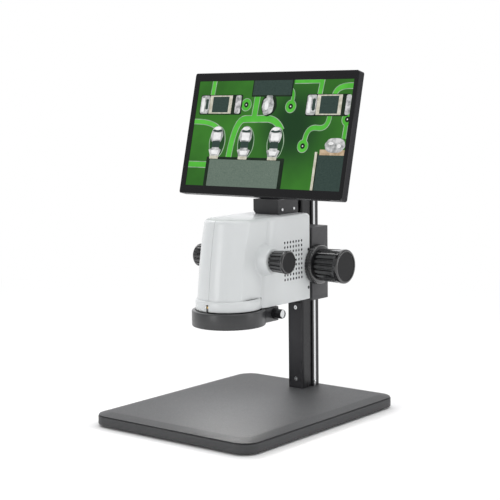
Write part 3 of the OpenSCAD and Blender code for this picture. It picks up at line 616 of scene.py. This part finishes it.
def make_shell(side, node):
    """One moulded cover: hollow, with a dark lining inside and in its vents that is painted shade."""
    white = MATERIALS["white_plastic"]
    # Painted shade: this dark material lines the inner faces, vent walls, shaft bore and collar space.
    dark = MATERIALS["painted_shade_lining"]
    obj = lined(half_head(node + "_cover", side, 0.0), white)
    boolean(obj, lined(boss("outer", side, 0.0), white), "UNION")
    boolean(obj, lined(half_head("inner", side, SHELL_WALL), dark), "DIFFERENCE")
    boolean(obj, lined(collar_cutter("zone", 0.1), dark), "DIFFERENCE")
    boolean(obj, lined(cutter_bar("shaft", side, 28, 60, *ZOOM_AXIS, 6.5, 32), dark), "DIFFERENCE")
    vents = []
    for i in range(VENT_COLUMNS):
        for j in range(VENT_ROWS):
            vents.append(cutter_bar("vent", side, 35, 45, VENT_START[0] + VENT_STEP * i,
                                    VENT_START[1] + VENT_STEP * j, 1.4, 16, 1.28))
    for z in (164.7, 215.8):
        vents.append(cutter_bar("screw", side, 39.4, 45, 83, z, 2.15, 24))
    boolean(obj, lined(join("vents", vents), dark), "DIFFERENCE")
    cuts = []
    if side < 0:
        cuts.append(cutter_bar("jack", side, 30, 45, 68, 168, 4.6, 32))
        cuts.append(cutter_bar("button", side, 30, 45, 68, 246, 4.6, 32))
        cuts.append(cutter_bar("dimmer", side, 30, 45, 48, 246, 3.6, 32))
        for name, middle, half, low, high in (("video", 52, 8.2, 164.6, 171.4),
                                              ("data", 33, 7.2, 164, 172)):
            outline = [(middle - half, low), (middle + half, low),
                       (middle + half, high), (middle - half, high)]
            cuts.append(extruded(name, outline, -45, -30, "x"))
    else:
        cuts.append(cutter_box("slot", (31.7, -3.3, 148), (35.3, 13.3, 152)))
    cuts.append(cutter_box("rear", (-1 if side > 0 else -35, 83.6, 151.7),
                           (35 if side > 0 else 1, 93.6, 238.2)))
    boolean(obj, lined(join("cuts", cuts), white), "DIFFERENCE")
    place(smooth(obj, 24), node)


def make_collar():
    """The ring under the nose, with a tapered top edge, a flat back and a notch in front."""
    rows = [(38.9, 149.0), (41.7, 149.0), (42.3, 149.25), (42.5, 149.8), (42.5, 159.9), (42.35, 160.5),
            (41.45, 162.4), (41.1, 162.75), (40.7, 162.8), (38.9, 162.8)]
    obj = turned("nose_collar", rows, "z", (0, RING_Y), 160)
    boolean(obj, cutter_box("back", (-60, -15.4, 140), (60, 40, 170)), "DIFFERENCE")
    boolean(obj, cutter_box("notch", (-1.9, -90, 140), (1.9, -70, 158.5)), "DIFFERENCE")
    place(smooth(obj, 30), "base_collar", MATERIALS["white_plastic"])


# ---------------------------------------------------------------- knobs and rings

def fluted(r_base, r_tip, x0, x1, rim, count, depth, dish_r, dish, width=0.5):
    """Profile and wave of a fluted knob along +X."""
    length = x1 - x0
    rows = [(0.0, x0), (r_base - 1.5, x0), (r_base - 0.4, x0 + 0.35), (r_base, x0 + 1.3)]
    body = length - rim
    for k in range(1, 12):
        t = k / 11
        rows.append((r_base + (r_tip - r_base) * t * body / length, x0 + 1.3 + (body - 1.3) * t))
    edge = r_tip
    rows += [(edge - 0.05, x1 - rim + 0.6), (edge, x1 - 2.0), (edge - 0.25, x1 - 1.0),
             (edge - 0.9, x1 - 0.3), (edge - 1.8, x1), (dish_r + 0.5, x1), (dish_r + 0.1, x1 - 0.15),
             (dish_r, x1 - 0.5), (dish_r, x1 - dish), (0.0, x1 - dish)]
    fade = x1 - rim

    def wave(angle, s, r):
        s = abs(s)
        if r < r_base - 2 or s > fade + 0.3:
            return 0.0
        phase = (angle * count / (2 * math.pi)) % 1.0
        d = abs(phase - 0.5) * 2
        groove = max(0.0, 1 - (d / width) ** 2) ** 0.6 if d < width else 0.0
        near_end = min(1.0, max(0.0, (fade + 0.3 - s) / 1.6)) ** 0.5
        return -depth * groove * near_end

    return rows, wave


def make_knob(name, node, side, material, centre, spec, steps):
    """A fluted knob with a face of its own in its dish. spec holds what fluted takes."""
    y, z = centre
    rows, wave = fluted(*spec)
    profile = [(r, side * x) for r, x in rows]
    obj = turned(name, profile, "x", centre, steps, wave)
    place(smooth(obj, 38), node, material)
    obj.data.materials.append(MATERIALS["knob_face"])
    end, dish_r, dish = spec[3], spec[7], spec[8]
    for face in obj.data.polygons:
        off = math.hypot(face.center.y / MM - y, face.center.z / MM - z)
        if off < dish_r - 0.01 and abs(face.center.x) / MM > end - dish - 0.1:
            face.material_index = 1


def make_knobs():
    knob = MATERIALS["knob_plastic"]
    focus = (21.6, 23.0, 49.3, 88.5, 7.0, 20, 2.1, 19.4, 1.4, 0.46)
    zoom = (13.7, 15.3, 51.2, 74.7, 3.5, 16, 1.8, 12.9, 0.5, 0.46)
    for side, tag in ((1, "right"), (-1, "left")):
        make_knob("focus_grip_" + tag, "focus_knob_" + tag, side, knob, FOCUS_AXIS, focus, 400)
        make_knob("zoom_grip_" + tag, "zoom_knob_" + tag, side, knob, ZOOM_AXIS, zoom, 320)


def make_tension_ring():
    rows = [(15.1, 40.4), (26.2, 40.4), (26.8, 40.6), (27.0, 41.1), (27.0, 43), (27.0, 45),
            (27.0, 46.8), (26.6, 47.5), (25.8, 47.8), (25.4, 48.5), (24.9, 48.8), (15.1, 48.8)]

    def wave(angle, s, r):
        if r < 26:
            return 0.0
        d = abs((angle * 40 / (2 * math.pi)) % 1.0 - 0.5) * 2
        return -0.75 * math.sqrt(max(0.0, 1 - (d / 0.5) ** 2)) if d < 0.5 else 0.0

    obj = turned("tension_grip", rows, "x", FOCUS_AXIS, 480, wave)
    place(smooth(obj, 35), "tension_ring", MATERIALS["knob_plastic"])


def make_ring_light():
    rows = [(27.0, 127.3), (45.8, 127.3), (46.9, 127.6), (47.4, 128.2), (47.6, 129.0), (47.6, 146.0),
            (47.4, 146.9), (46.8, 147.6), (46.0, 147.9), (43.4, 147.9), (43.1, 147.7), (43.1, 146.7),
            (27.0, 146.7)]
    obj = turned("ring_light_body", rows, "z", (0, RING_Y), 128)
    lug_outline = rounded_outline([(24, -14), (40, -14), (40, 18), (24, 18)], [0, 2.4, 2.4, 0], 6)
    lug = extruded("lug", lug_outline, 129.5, 147.9, "z", 0.8)
    boolean(obj, lug, "UNION")
    bore = turned("bore", [(0, 120), (27.0, 120), (27.0, 160), (0, 160)], "z", (0, RING_Y), 128)
    boolean(obj, bore, "DIFFERENCE")
    groove = turned("groove", [(29.0, 120), (44.6, 120), (44.6, 136.3), (29.0, 136.3)], "z",
                    (0, RING_Y), 128)
    boolean(obj, groove, "DIFFERENCE")
    tongue = cutter_box("tongue", (31.8, -3.3, 134), (35.2, 13.3, 165))
    boolean(obj, tongue, "DIFFERENCE")
    place(smooth(obj, 28), "ring_housing", MATERIALS["ring_paint"])


# ---------------------------------------------------------------- monitor

MONITOR_TILT = math.radians(-13.9)
MONITOR_PLACE = Vector((0, 43.3, 369.7))
MONITOR_SIZE = (271.6, 167.1)
PICTURE_SIZE = (256.3, 144.2)
PICTURE_X = 1.8


def on_monitor(x, back, up):
    """A point in the monitor's own frame, turned into the model's."""
    c, s = math.cos(MONITOR_TILT), math.sin(MONITOR_TILT)
    return (MONITOR_PLACE.x + x,
            MONITOR_PLACE.y + back * c - up * s,
            MONITOR_PLACE.z + back * s + up * c)


def panel_loft(name, rows, r=3.0):
    """A solid of rounded rectangles: (distance back, inset) rows."""
    w, h = MONITOR_SIZE
    rings = []
    for back, inset in rows:
        corner = max(0.5, r - inset * 0.6)
        outline = rounded_rectangle(w - 2 * inset, h - 2 * inset, corner, steps=8)
        rings.append([on_monitor(x, back, up) for x, up in outline])
    return loft(name, rings)


def window_ring(name, rows, window_depth):
    """The front glass: black border round a shallow window for the picture."""
    obj = panel_loft(name, rows)
    w, h = PICTURE_SIZE
    outline = rounded_rectangle(w, h, 0.6, PICTURE_X, 0.0, 3)
    cut = loft("window", [[on_monitor(x, back, up) for x, up in outline]
                          for back in (-1.0, window_depth)])
    return boolean(obj, cut, "DIFFERENCE")


def make_monitor():
    glass = window_ring("front_glass", [(0.0, 0.75), (0.12, 0.35), (0.45, 0.0), (1.8, 0.0)], 0.5)
    place(smooth(glass, 12), "monitor_glass", MATERIALS["black_glass"])
    cover = panel_loft("monitor_shell", [(1.82, 0.3), (2.15, 0.0), (11.6, 0.0), (12.1, 0.12),
                                         (12.5, 0.4), (13.3, 1.4), (13.45, 1.8), (13.5, 2.6)])
    hollow = panel_loft("hollow", [(0.5, 2.5), (7.3, 2.5), (7.31, 8.0), (11.0, 8.0)])
    boolean(cover, hollow, "DIFFERENCE")
    place(weighted(cover, 30), "monitor_cover", MATERIALS["monitor_plastic"])


# ---------------------------------------------------------------- the picture on the screen

ACROSS, HIGH = 16.0, 9.0
UNIT = PICTURE_SIZE[0] / 16
LAYER_THICKNESS = 0.02
PATH_END_REACH = 0.9


def on_screen(u, v, back):
    """A point of the picture, u to 16 across and v to 9 up, at a depth behind the glass's front."""
    u = min(ACROSS, max(0.0, u))
    v = min(HIGH, max(0.0, v))
    return on_monitor(PICTURE_X + (u - ACROSS / 2) * UNIT, back, (v - HIGH / 2) * UNIT)


def blend_line(points, steps=8):
    """An open path with its inner corners rounded."""
    out = [points[0]]
    for i in range(1, len(points) - 1):
        a, b, c = (Vector(points[i + k]) for k in (-1, 0, 1))
        start = b + (a - b) * (0.5 if i > 1 else PATH_END_REACH)
        end = b + (c - b) * (0.5 if i < len(points) - 2 else PATH_END_REACH)
        for k in range(steps + 1):
            t = k / steps
            p = start * (1 - t) ** 2 + b * 2 * t * (1 - t) + end * t ** 2
            out.append((p.x, p.y))
    out.append(points[-1])
    return out


def stroke(points, width):
    """The outline of a band of one width along a path."""
    path = [Vector(p) for p in (blend_line(points) if len(points) > 2 else points)]
    left, right = [], []
    for i, p in enumerate(path):
        ahead = path[min(i + 1, len(path) - 1)] - path[max(i - 1, 0)]
        side = Vector((-ahead.y, ahead.x)).normalized() * (width / 2)
        left.append(tuple(p + side))
        right.append(tuple(p - side))
    return left + right[::-1]


def blob(u, v, ru, rv, wobble=0.0, steps=28, seed=0):
    """A round or slightly uneven outline."""
    return [(u + ru * math.cos(a) * (1 + wobble * math.sin(3 * a + seed) * math.cos(5 * a + 2 * seed)),
             v + rv * math.sin(a) * (1 + wobble * math.cos(4 * a + seed)))
            for a in (2 * math.pi * k / steps for k in range(steps))]


def patch(u0, v0, u1, v1, r=0.08):
    r = min(r, (u1 - u0) / 2.1, (v1 - v0) / 2.1)
    return rounded_rectangle(u1 - u0, v1 - v0, r, (u0 + u1) / 2, (v0 + v1) / 2, 4)


def picture_layer(name, shapes, depth, material):
    """Thin closed plates, one for each outline, at one depth of the picture."""
    points, faces = [], []
    for outline in shapes:
        start, count = len(points), len(outline)
        for back in (depth, depth + LAYER_THICKNESS):
            points += [on_screen(u, v, back) for u, v in outline]
        faces.append(tuple(start + k for k in range(count)))
        faces.append(tuple(start + count + k for k in reversed(range(count))))
        for k in range(count):
            n = (k + 1) % count
            faces.append((start + k, start + count + k, start + count + n, start + n))
    obj = mesh_object(name, points, faces)
    place(obj, "lcd_panel", material)


def lit(name, dark, light, scale, level=0.95, spot=0.5, middle=None, reach=(0.03, 0.10)):
    """A shining patch of the picture, mottled between two colours, and darker near a middle point."""
    material, tree, shader = node_material(name, dark, 0.5)
    color = ramp(tree, noise(tree, scale, 4), [(spot - 0.14, dark), (spot + 0.14, light)])
    if middle:
        place_node = tree.nodes.new("ShaderNodeTexCoord")
        gap = tree.nodes.new("ShaderNodeVectorMath")
        gap.operation = "DISTANCE"
        gap.inputs[1].default_value = [c * MM for c in middle]
        tree.links.new(place_node.outputs["Object"], gap.inputs[0])
        fade = tree.nodes.new("ShaderNodeMapRange")
        fade.interpolation_type = "SMOOTHSTEP"
        fade.inputs["From Min"].default_value, fade.inputs["From Max"].default_value = reach
        tree.links.new(gap.outputs["Value"], fade.inputs["Value"])
        mix = tree.nodes.new("ShaderNodeMix")
        mix.data_type = "RGBA"
        mix.inputs["A"].default_value = (0.013, 0.050, 0.016, 1)
        tree.links.new(fade.outputs["Result"], mix.inputs["Factor"])
        tree.links.new(color, mix.inputs["B"])
        color = mix.outputs["Result"]
    tree.links.new(color, shader.inputs["Emission Color"])
    shader.inputs["Base Color"].default_value = (0.004, 0.004, 0.004, 1)
    shader.inputs["Specular IOR Level"].default_value = 0.05
    shader.inputs["Emission Strength"].default_value = level
    return material


TRACKS = [
    ([(1.68, 9.0), (1.62, 7.7)], 0.36),
    ([(0.0, 5.5), (2.1, 5.5), (2.9, 4.8)], 0.36),
    ([(0.0, 1.8), (2.0, 1.8)], 0.44),
    ([(6.55, 8.0), (6.45, 5.7)], 0.5),
    ([(4.3, 2.4), (4.5, 5.75), (6.6, 5.75), (8.8, 5.8), (9.5, 4.8)], 0.5),
    ([(9.9, 8.2), (10.35, 8.0), (10.15, 7.0)], 0.26),
    ([(10.2, 8.86), (12.9, 8.86)], 0.26),
    ([(12.95, 9.0), (12.85, 7.8)], 0.38),
    ([(16.0, 8.45), (14.5, 8.5), (14.3, 7.7)], 0.4),
    ([(14.1, 6.2), (14.1, 4.9), (12.0, 5.2), (11.95, 3.8)], 0.36),
    ([(15.8, 5.4), (15.75, 4.2)], 0.3),
]
RINGS = [(5.45, 6.95), (10.1, 6.8), (11.85, 3.55), (15.85, 5.75)]
PINS = [2.75, 5.85, 8.95]
RESISTORS = [(0.45, 6.2, 4.9, 7.75), (11.7, 6.1, 15.75, 7.75)]


def make_picture():
    board = lit("board_glow", (0.030, 0.135, 0.018), (0.048, 0.215, 0.026), 9,
                middle=on_screen(10.6, 5.2, 0.5), reach=(0.012, 0.085))
    shade = lit("shade_glow", (0.008, 0.016, 0.010), (0.016, 0.030, 0.016), 60)
    deep = lit("mask_glow", (0.014, 0.050, 0.018), (0.022, 0.085, 0.022), 20)
    rim = lit("track_edge_glow", (0.22, 0.36, 0.22), (0.40, 0.52, 0.38), 80)
    track = lit("track_glow", (0.075, 0.44, 0.040), (0.11, 0.56, 0.06), 30)
    silver = lit("solder_glow", (0.24, 0.25, 0.25), (0.72, 0.72, 0.72), 150)
    white = lit("highlight_glow", (0.80, 0.80, 0.80), (0.97, 0.97, 0.97), 160)
    cream = lit("cream_glow", (0.50, 0.48, 0.38), (0.74, 0.72, 0.62), 200)
    body = lit("chip_glow", (0.022, 0.042, 0.036), (0.050, 0.080, 0.070), 1400)
    face = lit("face_glow", (0.105, 0.150, 0.120), (0.17, 0.22, 0.18), 900)
    tan = lit("tan_glow", (0.42, 0.30, 0.18), (0.62, 0.48, 0.33), 200)

    picture_layer("picture_board", [patch(0, 0, 16, 9, 0.01)], 0.46, board)
    edges = [stroke(path, width + 0.13) for path, width in TRACKS]
    edges += [blob(u, v, 0.56, 0.56) for u, v in RINGS]
    picture_layer("picture_track_edges", edges, 0.40, rim)
    rings = [blob(u, v, 0.50, 0.50) for u, v in RINGS]
    tracks = [stroke(path, width) for path, width in TRACKS]
    picture_layer("picture_tracks", tracks + rings, 0.37, track)

    holes = [blob(u, v, 0.23, 0.23, 0.03) for u, v in RINGS]
    halos = [blob(u + 0.1, 3.75, 0.88, 1.38, 0.02, 36, u) for u in PINS]
    picture_layer("picture_halos", halos, 0.345, rim)
    inner = [blob(u + 0.1, 3.75, 0.80, 1.31, 0.02, 36, u) for u in PINS]
    picture_layer("picture_halo_cores", inner, 0.32, deep)
    dark = holes + [patch(1.95, 0, 10.2, 2.5, 0.1), patch(13.2, 0, 16, 2.95, 0.05)]
    dark += [patch(u0 - 0.05, v0 - 0.1, u1 + 0.1, v1 + 0.06, 0.15) for u0, v0, u1, v1 in RESISTORS]
    dark += [patch(5.9, 7.62, 10.1, 9.0, 0.05), blob(7.85, 6.95, 0.82, 0.95, 0.06, 30, 1)]
    picture_layer("picture_shadows", dark, 0.295, shade)

    bodies = [patch(6.0, 7.75, 9.98, 9.0, 0.05), patch(13.5, 0, 16, 2.85, 0.05)]
    bodies += [patch(u0 + 1.25, v0 + 0.08, u0 + 3.15, v1 - 0.08, 0.03)
               for u0, v0, u1, v1 in RESISTORS]
    picture_layer("picture_bodies", bodies, 0.27, body)
    picture_layer("picture_face", [patch(2.3, 0, 9.8, 2.28, 0.06)], 0.27, face)
    bars = []
    for u0, v0, u1, v1 in RESISTORS:
        bars += [patch(u0 + 0.98, v0 + 0.03, u0 + 1.32, v1 - 0.03),
                 patch(u0 + 3.08, v0 + 0.03, u0 + 3.42, v1 - 0.03),
                 patch(u0 + 0.98, v0, u0 + 3.42, v0 + 0.1, 0.02),
                 patch(u0 + 0.98, v1 - 0.1, u0 + 3.42, v1, 0.02)]
    bars += [patch(u - 0.52, 2.32, u + 0.42, 2.62, 0.05) for u in PINS]
    bars += [patch(13.16, 0, 13.4, 3.1, 0.02)]
    picture_layer("picture_bars", bars, 0.24, cream)
    picture_layer("picture_strip", [patch(13.6, 2.85, 16, 3.3, 0.04)], 0.24, tan)

    metal = []
    for u0, v0, u1, v1 in RESISTORS:
        metal += [patch(u0, v0, u0 + 0.95, v1, 0.18),
                  patch(u0 + 3.8, v0, min(15.98, u0 + 4.4), v1, 0.16)]
    metal += [blob(7.75, 6.85, 0.62, 0.78, 0.08, 30, 2), patch(7.5, 7.15, 8.15, 7.72, 0.1)]
    metal += [blob(15.0, 3.65, 0.98, 0.62, 0.05, 32, 3)]
    for u in PINS:
        metal += [blob(u, 4.35, 0.66, 0.78, 0.02, 32, u), patch(u - 0.4, 2.9, u + 0.38, 4.6, 0.12)]
        metal += [[(u - 0.72, 3.1), (u - 0.3, 3.25), (u + 0.3, 3.25), (u + 0.66, 3.1), (u + 0.42, 2.58),
                   (u - 0.5, 2.58)]]
    picture_layer("picture_metal", metal, 0.21, silver)
    darks = [patch(u0 + 0.55, v0 + 0.35, u0 + 0.85, v1 - 0.3, 0.12) for u0, v0, u1, v1 in RESISTORS]
    for u in PINS:
        darks += [patch(u - 0.42, 3.3, u + 0.42, 3.85, 0.08), blob(u, 4.72, 0.52, 0.12)]
    picture_layer("picture_metal_shades", darks, 0.18, body)
    lights = []
    for u in PINS:
        lights += [patch(u - 0.4, 3.95, u + 0.42, 4.55, 0.06), blob(u - 0.02, 4.92, 0.36, 0.15),
                   [(u - 0.42, 3.05), (u + 0.38, 3.05), (u + 0.28, 2.72), (u - 0.34, 2.72)]]
    for u0, v0, u1, v1 in RESISTORS:
        lights += [patch(u0 + 0.12, v0 + 0.15, u0 + 0.42, v1 - 0.2, 0.1)]
    lights += [blob(7.6, 6.9, 0.2, 0.4), blob(14.6, 3.8, 0.25, 0.12), blob(15.4, 3.6, 0.2, 0.16)]
    lights += [blob(u, v, 0.06, 0.06) for u, v in RINGS]
    picture_layer("picture_lights", lights, 0.15, white)


# ---------------------------------------------------------------- scene

def make_camera():
    yaw, pitch, roll = (math.radians(v) for v in (CAMERA_YAW, CAMERA_PITCH, CAMERA_ROLL))
    forward = Vector((-math.sin(yaw) * math.cos(pitch), math.cos(yaw) * math.cos(pitch),
                      -math.sin(pitch)))
    level = Vector((math.cos(yaw), math.sin(yaw), 0))
    raised = level.cross(forward)
    right = level * math.cos(roll) + raised * math.sin(roll)
    up = raised * math.cos(roll) - level * math.sin(roll)
    data = bpy.data.cameras.new("camera")
    data.lens = CAMERA_LENS
    data.sensor_width = SENSOR_WIDTH
    camera = bpy.data.objects.new("camera", data)
    matrix = Matrix((right, up, -forward)).transposed().to_4x4()
    matrix.translation = CAMERA_PLACE
    camera.matrix_world = matrix
    bpy.context.scene.collection.objects.link(camera)
    bpy.context.scene.camera = camera


def make_light(name, place_at, target, size, power, color=(1, 1, 1)):
    data = bpy.data.lights.new(name, "AREA")
    data.shape = "RECTANGLE"
    data.size, data.size_y = size
    data.energy = power
    data.color = color
    light = bpy.data.objects.new(name, data)
    direction = Vector(target) - Vector(place_at)
    light.rotation_euler = direction.to_track_quat("-Z", "Y").to_euler()
    light.location = place_at
    bpy.context.scene.collection.objects.link(light)
    return light


def make_world():
    """White for the camera, and a soft surround, darker low down and brightest behind the object."""
    world = bpy.data.worlds.new("studio")
    world.use_nodes = True
    tree = world.node_tree
    back = tree.nodes["Background"]
    surround = tree.nodes.new("ShaderNodeBackground")
    mix = tree.nodes.new("ShaderNodeMixShader")
    sight = tree.nodes.new("ShaderNodeLightPath")
    coords = tree.nodes.new("ShaderNodeTexCoord")
    split = tree.nodes.new("ShaderNodeSeparateXYZ")
    tree.links.new(coords.outputs["Generated"], split.inputs["Vector"])
    sky = ramp(tree, split.outputs["Z"], [(0.0, (0.55, 0.55, 0.56)), (0.55, (0.80, 0.80, 0.81)),
                                          (1.0, (1.0, 1.0, 1.0))])
    behind = tree.nodes.new("ShaderNodeVectorMath")
    behind.operation = "DOT_PRODUCT"
    behind.inputs[1].default_value = (-0.63, 0.78, 0)
    tree.links.new(coords.outputs["Generated"], behind.inputs[0])
    backdrop = tree.nodes.new("ShaderNodeMapRange")
    backdrop.interpolation_type = "SMOOTHSTEP"
    backdrop.inputs["From Min"].default_value, backdrop.inputs["From Max"].default_value = 0.1, 0.95
    backdrop.inputs["To Min"].default_value, backdrop.inputs["To Max"].default_value = 0.66, 2.1
    tree.links.new(behind.outputs["Value"], backdrop.inputs["Value"])
    tree.links.new(sky, surround.inputs["Color"])
    tree.links.new(backdrop.outputs["Result"], surround.inputs["Strength"])
    back.inputs["Color"].default_value = (1, 1, 1, 1)
    back.inputs["Strength"].default_value = 1.0
    tree.links.new(sight.outputs["Is Camera Ray"], mix.inputs["Fac"])
    tree.links.new(surround.outputs["Background"], mix.inputs[1])
    tree.links.new(back.outputs["Background"], mix.inputs[2])
    tree.links.new(mix.outputs["Shader"], tree.nodes["World Output"].inputs["Surface"])
    bpy.context.scene.world = world


def make_floor():
    """White floor, which shines a little more the further it is from the object."""
    far = 40
    mesh = bpy.data.meshes.new("floor")
    mesh.from_pydata([(-far, -far, 0), (far, -far, 0), (far, far, 0), (-far, far, 0)], [],
                     [(0, 1, 2, 3)])
    floor = bpy.data.objects.new("floor", mesh)
    bpy.context.scene.collection.objects.link(floor)
    material, tree, shader = node_material("floor_white", (0.97, 0.97, 0.97), 0.9)
    tree.links.new(ramp(tree, noise(tree, 3, 1), [(0, (0.95, 0.95, 0.95)), (1, (0.97, 0.97, 0.97))]),
                   shader.inputs["Base Color"])
    shader.inputs["Specular IOR Level"].default_value = 0.1
    place_node = tree.nodes.new("ShaderNodeTexCoord")
    gap = tree.nodes.new("ShaderNodeVectorMath")
    gap.operation = "LENGTH"
    tree.links.new(place_node.outputs["Object"], gap.inputs[0])
    fade = tree.nodes.new("ShaderNodeMapRange")
    fade.interpolation_type = "SMOOTHSTEP"
    fade.inputs["From Min"].default_value = 0.2
    fade.inputs["From Max"].default_value = 1.4
    tree.links.new(gap.outputs["Value"], fade.inputs["Value"])
    glow = tree.nodes.new("ShaderNodeEmission")
    glow.inputs["Strength"].default_value = 1.0
    mix = tree.nodes.new("ShaderNodeMixShader")
    tree.links.new(fade.outputs["Result"], mix.inputs["Fac"])
    tree.links.new(shader.outputs["BSDF"], mix.inputs[1])
    tree.links.new(glow.outputs["Emission"], mix.inputs[2])
    tree.links.new(mix.outputs["Shader"], tree.nodes["Material Output"].inputs["Surface"])
    floor.data.materials.append(material)


def make_studio():
    bpy.context.scene.view_settings.view_transform = "Standard"
    make_world()
    make_floor()
    make_light("front", (-0.25, -1.98, 0.42), (0, 0, 0.25), (0.6, 0.8), 6)
    make_light("left", (-1.3, 0.2, 1.8), (0, 0, 0.2), (0.9, 0.9), 7)
    make_light("side", (1.93, 0.7, 0.55), (0, 0, 0.25), (0.5, 1.0), 5)
    make_light("top", (0.7, 0.2, 2.1), (0, 0, 0.1), (1.8, 1.8), 13)


# CAD nodes whose shape stays, with the width of their rounded edges in millimetres
BEVELLED_NODES = {
    "rubber_feet": 0.8, "column": 0.25, "column_cap": 0.5, "focus_rack": 0.2, "rack_screws": 0.2,
    "guide_strip_left": 0.12, "guide_strip_right": 0.12, "guide_strip_screws": 0.15,
    "focus_block": 0.7, "block_cap_top": 0.9, "block_cap_bottom": 0.9, "focus_collar_left": 0.6,
    "focus_knob_caps": 0.2, "monitor_bracket": 0.45, "bracket_screws": 0.25, "tilt_pin": 0.5,
    "ring_thumbscrew": 0.25, "contact_pin": 0.2, "objective_barrel": 0.3,
    "power_button": 0.4, "dimmer_knob": 0.3, "shell_screws": 0.15, "tension_hub": 0.3,
    "block_cap_screws": 0.15, "head_screws": 0.2, "column_bolts": 0.3,
}


def make_refined():
    """The CAD nodes with rounded edges, and the bright recess in the thumbscrew's head."""
    for node, width in BEVELLED_NODES.items():
        place(refined(node, width), node, MATERIALS[slot_of(node)])
    screw = bpy.data.objects["ring_thumbscrew_finish"]
    screw.data.materials.append(MATERIALS["bright_steel"])
    for face in screw.data.polygons:
        off = math.hypot(face.center.y / MM - RING_SCREW_AXIS[0],
                         face.center.z / MM - RING_SCREW_AXIS[1])
        if face.center.x > 53.3 * MM and off < 4.85:
            face.material_index = 1


# CAD nodes that a piece of this script's own stands for
REBUILT = ["base_plate", "shell_left", "shell_right", "base_collar", "focus_knob_left",
           "focus_knob_right", "zoom_knob_left", "zoom_knob_right", "tension_ring", "ring_housing",
           "monitor_glass", "monitor_cover", "lcd_panel"]

make_camera()
make_base()
make_shell(1, "shell_right")
make_shell(-1, "shell_left")
make_collar()
make_knobs()
make_tension_ring()
make_ring_light()
make_monitor()
make_picture()
make_refined()
finish_plain_nodes(REBUILT + list(BEVELLED_NODES))
make_studio()
